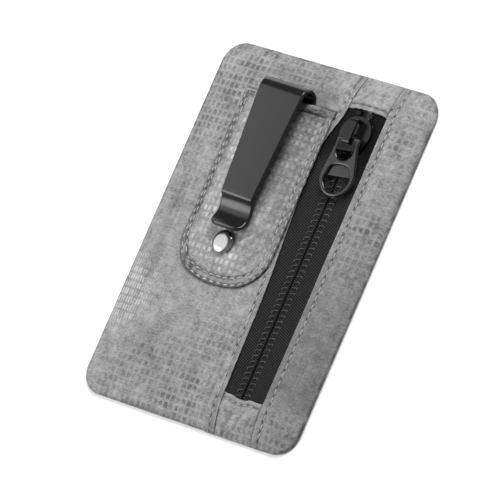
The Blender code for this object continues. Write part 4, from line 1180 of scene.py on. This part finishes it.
def make_front(looks):
    flaps = (("left", -1.0, left_fold_x, FLAP_STITCH_INSET, 11, CREASES_LEFT),
             ("right", 1.0, right_fold_x, RIGHT_FLAP_STITCH_INSET, 23, CREASES_RIGHT))
    for flap in flaps:
        make_flap(looks["ripstop"], *flap)
    for flap in flaps:
        make_flap_stitches(looks["thread"], *flap[:-1])


# Tabs over the ends of the zip

def tab_edge(x, end):
    """The tab's folded edge across the zip: bowed at the top, wavy at the bottom."""
    share = (x - LEFT_FOLD_X) / (RIGHT_FOLD_X - LEFT_FOLD_X)
    bow = TAB_BOW * 4.0 * share * (1.0 - share)
    if end > 0.0:
        return OPENING_TOP + bow + hills(x, 0.0 * x, 54, TAB_TOP_WAVE)
    return OPENING_BOTTOM - bow + hills(x, 0.0 * x, 53, TAB_BOTTOM_WAVE)


def tab_height(x, y, from_fold, stretched, seed):
    """Height of a tab: under the flaps at its sides, with small pleats toward its fold."""
    from_side = smooth((x - LEFT_FOLD_X) / TAB_SIDE_RUN) * smooth((RIGHT_FOLD_X - x) / TAB_SIDE_RUN)
    height = front_height(x, y) - TAB_SINK - TAB_SIDE_SINK * (1.0 - from_side)
    pleats = hills(x, stretched, seed, TAB_PLEATS) + hills(x, y, seed + 1, TAB_HILLS)
    pleats *= smooth(1.3 - from_fold / TAB_BULGE_REACH)
    height += (pleats + TAB_BULGE) * from_side * smooth(edge_distance(x, y) / TAB_FLAT_RIM)
    height += seam_relief(from_fold, x, TAB_STITCH_INSET) * TAB_SEAM_SHARE
    height += creased(x, y, CREASES_TAB)
    over_tape = np.abs(y) < TAPE_HIGH.y + TAB_PAST_TAPE
    return np.where(over_tape, np.maximum(height, TAPE_HIGH.z + 2.0 * CLOTH_THICKNESS), height)


def make_tab(word, look, end, seed):
    """A tab that runs from the pouch's end, between and under the flaps, to its folded edge."""
    across = np.arange(LEFT_FOLD_X - TAB_SIDE_UNDER, RIGHT_FOLD_X + TAB_SIDE_UNDER, TAB_STEP)
    inner = tab_edge(across, end)
    length = float(np.max(np.abs(end * HALF_Y - inner)))
    y = spread(end * HALF_Y, inner, inset_columns(length) / length)
    x = repeated(across, y.shape[1])
    from_fold = np.abs(inner[:, None] - y)
    height = tab_height(x, y, from_fold, (y - inner[:, None]) * TAB_PLEAT_STRETCH, seed)
    from_side = np.minimum(x - LEFT_FOLD_X, RIGHT_FOLD_X - x)
    shade_patches = patchy_shade(x, y, seed + 3, *TAB_SHADE_PATCHES)
    # Painted shade: in the stitch row, where the tab runs under the flaps, in its creases and along the row
    shade = deepest(seam_shade(from_fold, x, TAB_STITCH_INSET),
                    TAB_SIDE_SHADE * (1.0 - smooth(from_side / TAB_SIDE_SHADE_RUN)),
                    crease_shade(x, y, CREASES_TAB, TAB_CREASE_SHADE),
                    TAB_ROW_SHADE * shade_patches * hump(from_fold - TAB_STITCH_INSET, TAB_ROW_SHADE_WIDTH))
    rolled = hem_round(inner, height[:, -1], -end, 6, TAB_RETURN)
    hemmed_cloth(word + "_tab_cloth", look, "zip_tab_" + word, joined(x, y, height),
                 [joined(across, place, low) for place, low in rolled],
                 shade, squares_at(x, y, seed + 4) * smooth(from_fold / TAB_SQUARES_FADE - 0.5),
                 0 if end > 0.0 else None)


def make_tabs(looks):
    xs = np.linspace(LEFT_FOLD_X + TAB_STITCH_MARGIN, RIGHT_FOLD_X - TAB_STITCH_MARGIN, 30)

    def height_at(x, y):
        return front_height(x, y) - TAB_STITCH_SINK

    for word, end, seed in (("top", 1.0, 41), ("bottom", -1.0, 47)):
        make_tab(word, looks["ripstop"], end, seed)
        line = joined(xs, tab_edge(xs, end) + end * TAB_STITCH_INSET)
        stitches(word + "_tab_stitches", looks["thread"], line, height_at, TAB_STITCH_PITCH,
                 TAB_THREAD_SHARE * THREAD_RADIUS)


# Patch

def patch_outline():
    """Places evenly along the patch's edge, from its upper left corner, down and round."""
    angles = np.linspace(0.0, math.pi, 160)
    power = 2.0 / PATCH_END_POWER
    across = -np.sign(np.cos(angles)) * np.abs(np.cos(angles)) ** power
    down = np.abs(np.sin(angles)) ** power
    end_y = PATCH_LOW.y + PATCH_END_LENGTH
    round_end = joined(PATCH_X + PATCH_HALF * across, end_y - PATCH_END_LENGTH * down)
    upper_left = (PATCH_LOW.x, PATCH_HIGH.y)
    line = np.concatenate([[upper_left], round_end, [(PATCH_HIGH.x, PATCH_HIGH.y), upper_left]])
    along = distances_along(line)
    spots = np.linspace(0.0, along[-1], int(along[-1] / PATCH_STEP), endpoint=False)
    return joined(np.interp(spots, along, line[:, 0]), np.interp(spots, along, line[:, 1]))


def patch_height(x, y):
    """The patch's height, raised over the clip's tongue."""
    aside = (x - RIVET_X) * math.cos(CLIP_TURN) - (y - RIVET_Y) * math.sin(CLIP_TURN)
    across = (np.abs(aside) - CLIP_TOP_HALF_WIDTH - PATCH_BUMP_MARGIN) / PATCH_BUMP_RUN
    below = (TONGUE_LOW.y - PATCH_BUMP_MARGIN - y) / PATCH_BUMP_RUN
    share = smooth(1.0 - np.maximum(0.0, across)) * smooth(1.0 - np.maximum(0.0, below))
    return mixed(front_height(x, y) + PATCH_HEM_RISE, PATCH_RAISED_TOP, share)


def patch_inner_row(x, y):
    """Inset of the inner row of stitches, which draws close to the outer row on the left side."""
    return mixed(PATCH_INNER_ROW, PATCH_JOINED_ROW, (x < PATCH_X) * between(y, PATCH_JOIN))


def inset_line(outline, inset):
    """The patch's outline moved inward by an inset, the same all round or one for each place."""
    ahead = np.roll(outline, -3, axis=0) - np.roll(outline, 3, axis=0)
    normal = joined(-ahead[:, 1], ahead[:, 0])
    normal /= np.linalg.norm(normal, axis=1)[:, None]
    return outline + np.asarray(inset)[..., None] * normal


def crumple(x, y):
    """Hard small folds at the patch's upper corners and where the clip leaves it."""
    relief = 0.0 * x
    folds = CRUMPLE_DEPTH * hills(x, y, 75, *CRUMPLE_FOLDS)
    for corner_x, reach, rise in PATCH_CRUMPLES:
        above = y - PATCH_HIGH.y + CRUMPLE_BELOW_TOP
        away = np.hypot(x - corner_x / 1000, above * CRUMPLE_FLATNESS)
        relief += hump(away, reach / 1000) * (rise / 1000 + folds)
    return relief


def patch_rows_share(y):
    """Stitch rows fade out at the top edge, where the patch is only folded."""
    return smooth((PATCH_HIGH.y - PATCH_ROWS_END - y) / PATCH_ROWS_END)


def patch_relief(x, y, distance, outer_along, inner_along):
    """Hems, rows, hills, crumples and creases of the patch, in metres of height."""
    outer = seam_relief(distance, outer_along, PATCH_OUTER_ROW, PATCH_OUTER_HEM)
    inner = seam_relief(distance, inner_along, patch_inner_row(x, y), 0.0)
    relief = patch_rows_share(y) * (outer + PATCH_INNER_SEAM * inner)
    relief += PATCH_BAND_RISE * band(distance, PATCH_BAND_WIDTH, PATCH_BAND_RUNS)
    relief += hills(x, y, 71, PATCH_HILLS) * smooth(distance / PATCH_HILLS_RUN)
    relief += hills(x, y, 72, PATCH_FINE_HILLS)
    return relief + crumple(x, y) + creased(x, y, CREASES_PATCH)


def patch_shade(x, y, distance, outer_along, inner_along):
    """Painted shade of the patch, from 0 to 1: rows, creases, a band at the left and the right side."""
    rows = patch_rows_share(y)
    inner_row = patch_inner_row(x, y)
    seams = deepest(seam_shade(distance, outer_along, PATCH_OUTER_ROW),
                    seam_shade(distance, inner_along, inner_row))
    shade_patches = patchy_shade(x, y, 77, *PATCH_SHADE_PATCHES)
    left_shade = between(x, PATCH_LEFT_SHADE_X) * rows * shade_patches
    in_band = band(distance, inner_row + PATCH_LEFT_SHADE_PAST, PATCH_LEFT_SHADE_RUNS)
    dim = PATCH_DIM * between(x, PATCH_DIM_X) * between(y, PATCH_DIM_Y)
    return deepest(seams * rows,
                   dim * (0.7 + 0.5 * shade_patches),
                   crease_shade(x, y, CREASES_PATCH, PATCH_CREASE_SHADE),
                   PATCH_BAND_SHADE * left_shade * in_band,
                   left_shade * hump(distance - inner_row, PATCH_LEFT_SHADE_ROW))


def patch_rings(outline, insets):
    """Places across and along, and the inset, of rings from the outline toward the patch's spine."""
    spine_y = np.clip(outline[:, 1], PATCH_LOW.y + PATCH_HALF, PATCH_HIGH.y - PATCH_HALF)
    spine = joined(np.full(len(outline), PATCH_X), spine_y)
    distance = repeated(np.array(insets), len(outline))
    places = outline + (spine - outline) * distance[..., None] / PATCH_HALF
    return places[..., 0], places[..., 1], distance


def make_patch(looks):
    outline = patch_outline()
    inner_row = patch_inner_row(outline[:, 0], outline[:, 1])
    outer_along = distances_along(inset_line(outline, PATCH_OUTER_ROW))
    inner_along = distances_along(inset_line(outline, inner_row))
    fine = np.arange(PATCH_FINE_FROM, PATCH_FINE_TO, PATCH_FINE_STEP)
    coarse = np.linspace(PATCH_FINE_TO, PATCH_HALF, PATCH_COARSE_RINGS)[1:]
    x, y, distance = patch_rings(outline, np.concatenate([PATCH_EDGE_INSETS, fine, coarse]))
    height = patch_height(x, y) + patch_relief(x, y, distance, outer_along, inner_along)
    height -= PATCH_HEM_RISE * PATCH_HEM_SHARE * (1.0 - edge_round(distance) / SEAM_ROUND)
    shade = patch_shade(x, y, distance, outer_along, inner_along)
    squares = PATCH_SQUARES * (0.75 + hills(x, y, 78, PATCH_SQUARE_HILLS))
    squares = squares * smooth(distance / PATCH_SQUARES_FADE - 0.8)
    under_x, under_y, under = patch_rings(outline, PATCH_UNDER_INSETS)
    under_points = joined(under_x, under_y, front_height(under_x, under_y) + PATCH_UNDER_GAP)
    # Painted shade on the turned-under ring nearest the patch's edge; the same values serve as its squares
    under = 0.0 * under
    under[-1] = PATCH_UNDER_SHADE
    item = make_cloth("patch_cloth", looks["ripstop_patch"], "clip_patch",
                      np.concatenate([under_points, joined(x, y, height)]),
                      np.concatenate([under, shade]), np.concatenate([under, squares]), wrap=True)
    mend(item, merge=CLOTH_MERGE, face_up=True)

    def height_at(x, y):
        return patch_height(x, y) - PATCH_STITCH_SINK * GROOVE_DEPTH

    for name, inset, shift in (("patch_outer_stitches", PATCH_OUTER_ROW, 0.0),
                               ("patch_inner_stitches", inner_row, PATCH_ROW_SHIFT)):
        below_top = outline[:, 1] < PATCH_HIGH.y - PATCH_ROW_START - shift
        stitches(name, looks["thread"], inset_line(outline, inset)[below_top], height_at)
    make_bar_tacks(looks)


def make_bar_tacks(looks):
    """Short crossing threads that hold the patch's upper corners."""

    def height_at(x, y):
        return patch_height(x, y) + crumple(x, y) + TACK_RISE

    for word, centre_x, seed in (("left", PATCH_LOW.x + TACK_LEFT_INSET, 5),
                                 ("right", PATCH_HIGH.x - TACK_RIGHT_INSET, 9)):
        draw = np.random.RandomState(seed)
        line = []
        for index in range(TACK_THREADS):
            x = centre_x + TACK_WIDTH * (index / (TACK_THREADS - 1) - 0.5)
            x += draw.uniform(-TACK_WANDER, TACK_WANDER)
            side = 1.0 if index % 2 else -1.0
            line.append((x, PATCH_HIGH.y - TACK_BELOW_TOP + side * draw.uniform(*TACK_REACH)))
        stitches("bar_tack_" + word, looks["black_thread"], line, height_at, TACK_PITCH, TACK_RADIUS, 0.95)


# Back panel and linings

def make_back(looks):
    rows = cloth_rows()
    insets = np.array(EDGE_INSETS) / HALF_X
    shares = np.unique(np.concatenate([np.linspace(-1.0, 1.0, BACK_COLUMNS), 1.0 - insets, insets - 1.0]))
    x = side_x(rows)[:, None] * shares[None, :]
    y = repeated(rows, len(shares))
    distance = edge_distance(x, y)
    relief = BACK_RISE + hills(x, y, 5, *BACK_HILLS)
    height = SEAM_Z - edge_round(distance) + relief * smooth(distance / BACK_FLAT_RIM)
    squares = BACK_SQUARES + hills(x, y, 7, BACK_SQUARE_HILLS)
    # Painted shade along the back's edge
    make_cloth("back_cloth", looks["ripstop"], "back_panel", joined(x, y, height),
               BACK_EDGE_SHADE * hump(distance, BACK_EDGE_REACH), squares, flip=1)


def lining_box(node):
    """The lining's box with the seam allowance that runs under the zip's tape."""
    low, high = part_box(node)
    if node == "lining_front_left":
        high.x += LINING_SEAM
    if node == "lining_front_right":
        low.x -= LINING_SEAM
    return low, high


def make_linings(looks):
    for name, node, seed in LININGS:
        low, high = lining_box(node)
        x, y = np.meshgrid(np.linspace(low.x, high.x, LINING_GRID[0]),
                           np.linspace(low.y, high.y, LINING_GRID[1]))
        wave = hills(x, y, seed, LINING_HILLS)
        if node == "lining_back":
            height = low.z + LINING_RISE + wave
        else:
            under = np.minimum(TAPE_RIGHT_X + LINING_GAP - x, x - TAPE_LOW.x + LINING_GAP) / LINING_GAP
            height = front_height(x, y) - LINING_DROP + wave - LINING_TUCK * smooth(under)
        fit = np.minimum(1.0, (side_x(y) - LINING_SIDE_MARGIN) / np.maximum(np.abs(x), 0.001))
        make_cloth(name, looks["lining"], node, joined(x * fit, y, height),
                   slot="shield_lining", thickness=LINING_THICKNESS)


# Zip tape and its coil's stitching

def tape_shift(y):
    return PART_SPREAD * between(y, PART_Y)


def make_tape(word, side, look):
    """One half of the tape: flat weave with a raised band where the coil is sewn on."""
    rows = np.linspace(-TAPE_HIGH.y, TAPE_HIGH.y, TAPE_ROWS)
    outer = TAPE_RIGHT_X - ZIP_X
    columns = np.concatenate([TAPE_EDGE_COLUMNS, np.linspace(*TAPE_BAND_COLUMNS),
                              np.linspace(TAPE_FLAT_FROM, outer - TAPE_CENTRE_GAP / 2, TAPE_FLAT_COLUMNS)])
    across = spread(TAPE_CENTRE_GAP / 2 + tape_shift(rows), outer, columns / columns[-1])
    from_edge = np.repeat(columns[None, :], TAPE_ROWS, axis=0)
    y = repeated(rows, len(columns))
    height = TAPE_HIGH.z - TAPE_RISE * (1.0 - smooth(from_edge / TAPE_EDGE_RUN))
    coil = TAPE_RISE + COIL_RISE * np.cos(2.0 * math.pi * y / COIL_PITCH)
    height += coil * band(from_edge, TAPE_BAND_WIDTH, TAPE_BAND_RUNS)
    height += hills(across, y, 61, TAPE_HILLS)
    # Painted shade at the inner edge, toward the top near the slider, and in the needle holes below
    shade = deepest(TAPE_EDGE_SHADE * (1.0 - smooth(from_edge / TAPE_EDGE_SHADE_WIDTH)),
                    TOP_SHADE * between(y, TOP_SHADE_GROWS))
    for hole in MARK_HOLES:
        from_mark = y - OPENING_BOTTOM - side * MARK_LEAN * hole + MARK_HOLE_BELOW
        along = from_mark % MARK_PITCH - MARK_PITCH / 2
        shade = deepest(shade, hump(np.hypot(along, from_edge - hole), MARK_HOLE_SIZE))
    make_cloth("tape_" + word + "_cloth", look, "zip_tape_" + word,
               joined(ZIP_X + side * across, y, height), shade, slot="zip_tape",
               thickness=TAPE_THICKNESS, flip=1 if side < 0.0 else None)


def make_coil_threads(word, side, look):
    """Dark stitches that hold the coil, in small marks beside the zip's middle."""
    bm = bmesh.new()
    for index in range(int((OPENING_TOP - MARK_TOP_MARGIN - OPENING_BOTTOM) / MARK_PITCH)):
        middle = OPENING_BOTTOM + MARK_PITCH * (index + 0.5)
        shift = float(tape_shift(middle))
        for mark in MARK_THREADS:
            ends = [(ZIP_X + side * (shift + x), middle + y + side * MARK_LEAN * x) for x, y in mark]
            thread_run(bm, *ends, MARK_THREAD_RADIUS, MARK_BOW, TAPE_HIGH.z + MARK_RISE)
    dress(mesh_item("coil_stitches_" + word, bm), look, slot="zip_tape")


def make_zip(looks):
    sides = (("left", -1.0), ("right", 1.0))
    for word, side in sides:
        make_tape(word, side, looks["tape"])
    for word, side in sides:
        make_coil_threads(word, side, looks["black_thread"])


# Belt clip: one bent strip with rounded edges, from under the patch to the lip

def arc_points(centre, radius, start, end, steps):
    """Places on an arc from a start to an end angle in degrees."""
    angles = np.radians(np.linspace(start, end, steps + 1))
    return [(centre[0] + radius * math.cos(turn), centre[1] + radius * math.sin(turn)) for turn in angles]


def tongue_route(base, back):
    """The tongue's part of the route: a round foot, then a taper that ends before the bend."""
    places = []
    taper_from = TONGUE_LOW.y + CLIP_FOOT_HALF_WIDTH
    for y in np.linspace(TONGUE_LOW.y, taper_from, 12)[:-1]:
        past = (taper_from - y) / CLIP_FOOT_HALF_WIDTH
        places.append((y, base, CLIP_FOOT_HALF_WIDTH * math.sqrt(max(CLIP_FOOT_LEAST, 1.0 - past ** 2))))
    taper_to = mixed(RIVET_Y, CLIP_BEND_Y, CLIP_FULL_SHARE)
    for y in np.linspace(taper_from, back, 22)[:-1]:
        share = min(1.0, (y - taper_from) / (taper_to - taper_from))
        places.append((y, base, mixed(CLIP_FOOT_HALF_WIDTH, CLIP_TOP_HALF_WIDTH, share)))
    return places


def lip_route(y, z):
    """The lip's part of the route: one arc that falls and then flares, closer steps at its end."""
    places = []
    before = 0.0
    for index in range(1, LIP_STEPS + 1):
        share = 1.0 - (1.0 - index / LIP_STEPS) ** LIP_STEP_POWER
        turn = mixed(-LIP_FALL, LIP_FLARE, (share + before) / 2)
        y -= LIP_ARC * (share - before) * math.cos(turn)
        z += LIP_ARC * (share - before) * math.sin(turn)
        past = max(0.0, LIP_CORNER - LIP_ARC * (1.0 - share))
        corner = LIP_CORNER - math.sqrt(LIP_CORNER ** 2 - past ** 2)
        places.append((y, z, CLIP_FOLD_HALF_WIDTH - corner))
        before = share
    return places


def clip_route():
    """The strip's middle line in Y and Z with its half width at each place."""
    base = TONGUE_LOW.z + STRIP_HALF
    top = TONGUE_LOW.z + CLIP_BEND_TOP - STRIP_HALF
    radius = CLIP_BEND_RADIUS - STRIP_HALF
    centre_y = CLIP_BEND_Y - CLIP_BEND_RADIUS
    slope = math.degrees(math.atan2(CLIP_FOLD_DROP, centre_y - CLIP_FOLD_Y))
    places = tongue_route(base, centre_y)
    bend = arc_points((centre_y, base + radius), radius, -90.0, 0.0, 12)
    bend += arc_points((centre_y, top - radius), radius, 0.0, 90.0 + slope, 13)
    places += [(y, z, CLIP_TOP_HALF_WIDTH) for y, z in bend]
    leg_from = np.array(places[-1])
    leg_to = np.array((CLIP_FOLD_Y, top - CLIP_FOLD_DROP, CLIP_FOLD_HALF_WIDTH))
    tight = 1.0 - CLIP_FOLD_ROUND / (leg_from[0] - CLIP_FOLD_Y)
    for share in sorted([tight] + list(np.linspace(0.0, 1.0, CLIP_LEG_STEPS + 1)[1:])):
        places.append(mixed(leg_from, leg_to, share))
    return np.array(places + lip_route(leg_to[0], leg_to[1]))


def strip_section(half):
    """A rounded rectangle across the strip: places aside and out of its middle."""
    radius = min(STRIP_ROUND, half * 0.5)
    aside = half - radius
    out = STRIP_HALF - radius
    points = []
    for start, centre in ((0.0, (aside, out)), (90.0, (-aside, out)),
                          (180.0, (-aside, -out)), (270.0, (aside, -out))):
        points += arc_points(centre, radius, start, start + 90.0, STRIP_CORNER_STEPS)
    return points


def make_clip(looks):
    route = clip_route()
    ahead = np.gradient(route[:, :2], axis=0)
    ahead /= np.linalg.norm(ahead, axis=1)[:, None]
    rows = []
    for (y, z, half), (dy, dz) in zip(route, ahead):
        rows.append([(aside, y + out * dz, z - out * dy) for aside, out in strip_section(half)])
    points = np.array(rows)
    ring = range(points.shape[1])
    last = points.shape[0] * points.shape[1] - 1
    item = surface("clip_strip", points, wrap=True)
    mend(item, caps=(ring, [last - index for index in ring]))
    item.data.set_sharp_from_angle(angle=CLIP_SHARP)
    item.data.transform(Matrix.Translation((0.0, -RIVET_Y, 0.0)))
    item.data.transform(Matrix.Rotation(-CLIP_TURN, 4, "Z"))
    item.data.transform(Matrix.Translation((RIVET_X, RIVET_Y, 0.0)))
    item.data.materials.append(looks["clip"])
    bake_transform(item)
    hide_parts("belt_clip", "clip_tongue")


# Rivet's head

def make_rivet(looks):
    """A turned head: a flattened dome over a rounded rim, closed below."""
    rim_z = RIVET_LOW.z + RIVET_RIM
    profile = []
    for angle in np.linspace(0.0, math.pi / 2, 40):
        rise = (RIVET_HIGH.z - rim_z) * max(0.0, math.cos(angle)) ** RIVET_FLATNESS
        profile.append((RIVET_RADIUS * math.sin(angle) ** RIVET_FLATNESS, rim_z + rise))
    rim = arc_points((RIVET_RADIUS - RIVET_RIM, rim_z), RIVET_RIM, 0.0, -90.0, 5)
    foot = [(RIVET_RADIUS * RIVET_FOOT_SHARE, RIVET_LOW.z), (0.0, RIVET_LOW.z + RIVET_FOOT_RISE)]
    out, height = np.array(profile + rim[1:] + foot).T
    angles = np.linspace(0.0, 2.0 * math.pi, RIVET_SIDES, endpoint=False)
    x = RIVET_X + out[:, None] * np.cos(angles)
    y = RIVET_Y + out[:, None] * np.sin(angles)
    item = surface("rivet_dome", joined(x, y, repeated(height, RIVET_SIDES)), wrap=True)
    mend(item, merge=METAL_MERGE)
    dress(item, looks["nickel"], "rivet_cap", slot="rivet")


# Pull tag: a flat tag with round edges, a sunk plate and a round cross bar

def mirrored(right):
    """A closed outline from its right half, which starts on the middle line."""
    right = [(0.0, right[0][1])] + right[1:]
    return right + [(-x, y) for x, y in reversed(right) if abs(x) > 0.000001]


def tag_outline():
    right = arc_points((0.0, TAG_FOOT_RADIUS - TAG_LENGTH), TAG_FOOT_RADIUS, -90.0, 8.0, 26)
    shoulder = mixed(TAG_EYE_HALF, TAG_FOOT_RADIUS, TAG_SHOULDER_SHARE)
    right += [(shoulder, -0.75 * TAG_HOLE_LENGTH), (TAG_EYE_HALF, -0.35 * TAG_HOLE_LENGTH)]
    right += arc_points((TAG_EYE_HALF - TAG_EYE_ROUND, -TAG_EYE_DROP), TAG_EYE_ROUND, 0.0, 70.0, 5)
    return mirrored(right)


def eye_hole():
    """The eye closes at the cross bar."""
    right = arc_points((0.0, TAG_HOLE_HALF - TAG_HOLE_LENGTH), TAG_HOLE_HALF, -90.0, 0.0, 14)
    right += [(TAG_HOLE_TOP_SHARE * TAG_HOLE_HALF, -TAG_HOLE_TOP), (0.0, -TAG_HOLE_TOP)]
    return mirrored(right)


def sunk_window():
    """The window over the sunk plate: round below, arched above."""
    radius = TAG_FOOT_RADIUS - TAG_RIM
    right = arc_points((0.0, TAG_FOOT_RIM + radius - TAG_LENGTH), radius, -90.0, 0.0, 18)
    right += [(radius * across, -PLATE_FROM - PLATE_ARCH * radius * drop) for across, drop in PLATE_ARCH_LINE]
    return mirrored(right)


def flat_plate(name, outlines, thickness, rounding):
    """A mesh of a flat plate with holes, its edges rounded, from a filled curve."""
    data = bpy.data.curves.new(name, "CURVE")
    data.dimensions = "2D"
    data.fill_mode = "BOTH"
    data.extrude = thickness / 2 - rounding
    data.bevel_depth = rounding
    data.bevel_resolution = 3
    data.offset = -rounding
    for outline in outlines:
        spline = data.splines.new("POLY")
        spline.points.add(len(outline) - 1)
        for point, (x, y) in zip(spline.points, outline):
            point.co = (x, y, 0.0, 1.0)
        spline.use_cyclic_u = True
    holder = linked(name, data)
    made = bpy.data.meshes.new_from_object(holder.evaluated_get(bpy.context.evaluated_depsgraph_get()))
    bpy.data.objects.remove(holder)
    return made


def make_tag(looks):
    window = sunk_window()
    upper = [place for place in window if place[1] > -PLATE_TO]
    half = max(x for x, y in upper)
    outline = [(half, -PLATE_TO)] + upper + [(-half, -PLATE_TO)]
    outline = [(x * PLATE_OVERLAP, y) for x, y in outline]
    plate = flat_plate("tag_plate", [outline], PLATE_THICKNESS, PLATE_ROUND)
    plate.transform(Matrix.Translation((0.0, 0.0, -PLATE_SINK)))
    bm = bmesh.new()
    bm.from_mesh(flat_plate("tag_frame", [tag_outline(), eye_hole(), window], TAG_THICKNESS, TAG_ROUND))
    bm.from_mesh(plate)
    bar = Matrix.Rotation(math.radians(90.0), 4, "Y")
    bar_radius = TAG_THICKNESS / 2
    bar_length = 2 * TAG_EYE_HALF * TAG_BAR_SHARE
    bmesh.ops.create_cone(bm, cap_ends=True, segments=28, radius1=bar_radius, radius2=bar_radius,
                          depth=bar_length, matrix=bar)
    bmesh.ops.remove_doubles(bm, verts=bm.verts, dist=0.000005)
    place = Matrix.Translation((ZIP_X, PULL_Y, PULL_Z))
    place = place @ Matrix.Rotation(PULL_TURN, 4, "Z") @ Matrix.Rotation(PULL_TILT, 4, "X")
    bmesh.ops.transform(bm, matrix=place, verts=bm.verts)
    item = mesh_item("pull_tag", bm)
    item.data.set_sharp_from_angle(angle=TAG_SHARP)
    dress(item, looks["slider"], "slider_puller", body="puller", slot="slider_metal")


# Studio

def make_camera():
    data = bpy.data.cameras.new("photo_camera")
    data.lens = CAMERA_LENS_MM
    data.sensor_width = CAMERA_SENSOR_MM
    data.clip_start = 0.1
    data.clip_end = 50.0
    camera = linked("photo_camera", data)
    axes = Matrix((CAMERA_RIGHT, CAMERA_UP, CAMERA_BACK)).transposed().to_4x4()
    camera.matrix_world = Matrix.Translation(CAMERA_PLACE) @ axes
    bpy.context.scene.camera = camera


def make_floor():
    mesh = bpy.data.meshes.new("studio_floor")
    corners = [(x * FLOOR_HALF, y * FLOOR_HALF, 0.0) for x, y in ((-1, -1), (1, -1), (1, 1), (-1, 1))]
    mesh.from_pydata(corners, [], [(0, 1, 2, 3)])
    floor = linked("studio_floor", mesh)
    floor.location.z = FLOOR_Z
    look = Look("studio_floor", 0.9)
    cloud = look.noise(0.3, 1.0, 0.5)
    mesh.materials.append(look.painted({"Base Color": look.mix(cloud, grey(0.93), grey(0.95))}))


def make_softbox(name, place, size, power):
    """A round softbox that faces the pouch's middle."""
    data = bpy.data.lights.new(name, "AREA")
    data.shape = "DISK"
    data.size = size
    data.energy = power
    light = linked(name, data)
    light.location = place
    light.rotation_euler = (-Vector(place)).to_track_quat("-Z", "Y").to_euler()


def make_studio():
    sky = Graph(bpy.data.worlds.new("studio_world"), "Background")
    direction = sky.parts(sky.add("TexCoord", {}).outputs["Generated"])
    share = sky.ramp(direction[1], WORLD_DIM_FROM, WORLD_DIM_TO)
    colour = sky.mix(share, grey(WORLD_BRIGHT), grey(WORLD_DIM))
    bpy.context.scene.world = sky.painted({"Color": colour})
    bpy.context.scene.view_settings.view_transform = "Standard"
    for softbox in SOFTBOXES:
        make_softbox(*softbox)


# The linings' boxes, read again for each sheet and not used further

def declare_sheets():
    for name, node, _ in LININGS:
        low, high = lining_box(node)


def keep_packed_shapes(looks):
    """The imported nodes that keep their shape, with their finish and the width of their soft edges."""
    for node, look, edge in (
            ("zip_coil_left", "coil", 0.0), ("zip_coil_right", "coil", 0.0),
            ("zip_top_stop_left", "stop", 0.00010), ("zip_top_stop_right", "stop", 0.00010),
            ("zip_bottom_stop", "stop", 0.00010), ("slider_body", "plate", 0.00035),
            ("slider_bridge", "plate", 0.00040), ("slider_lock_spring", "spring", 0.0),
            ("rivet_post", "nickel", 0.0)):
        keep(node, looks[look], edge)


def build():
    looks = make_looks()
    make_camera()
    make_floor()
    make_studio()
    make_front(looks)
    make_tabs(looks)
    make_patch(looks)
    make_back(looks)
    make_linings(looks)
    make_zip(looks)
    make_clip(looks)
    make_rivet(looks)
    make_tag(looks)
    keep_packed_shapes(looks)
    declare_sheets()


build()
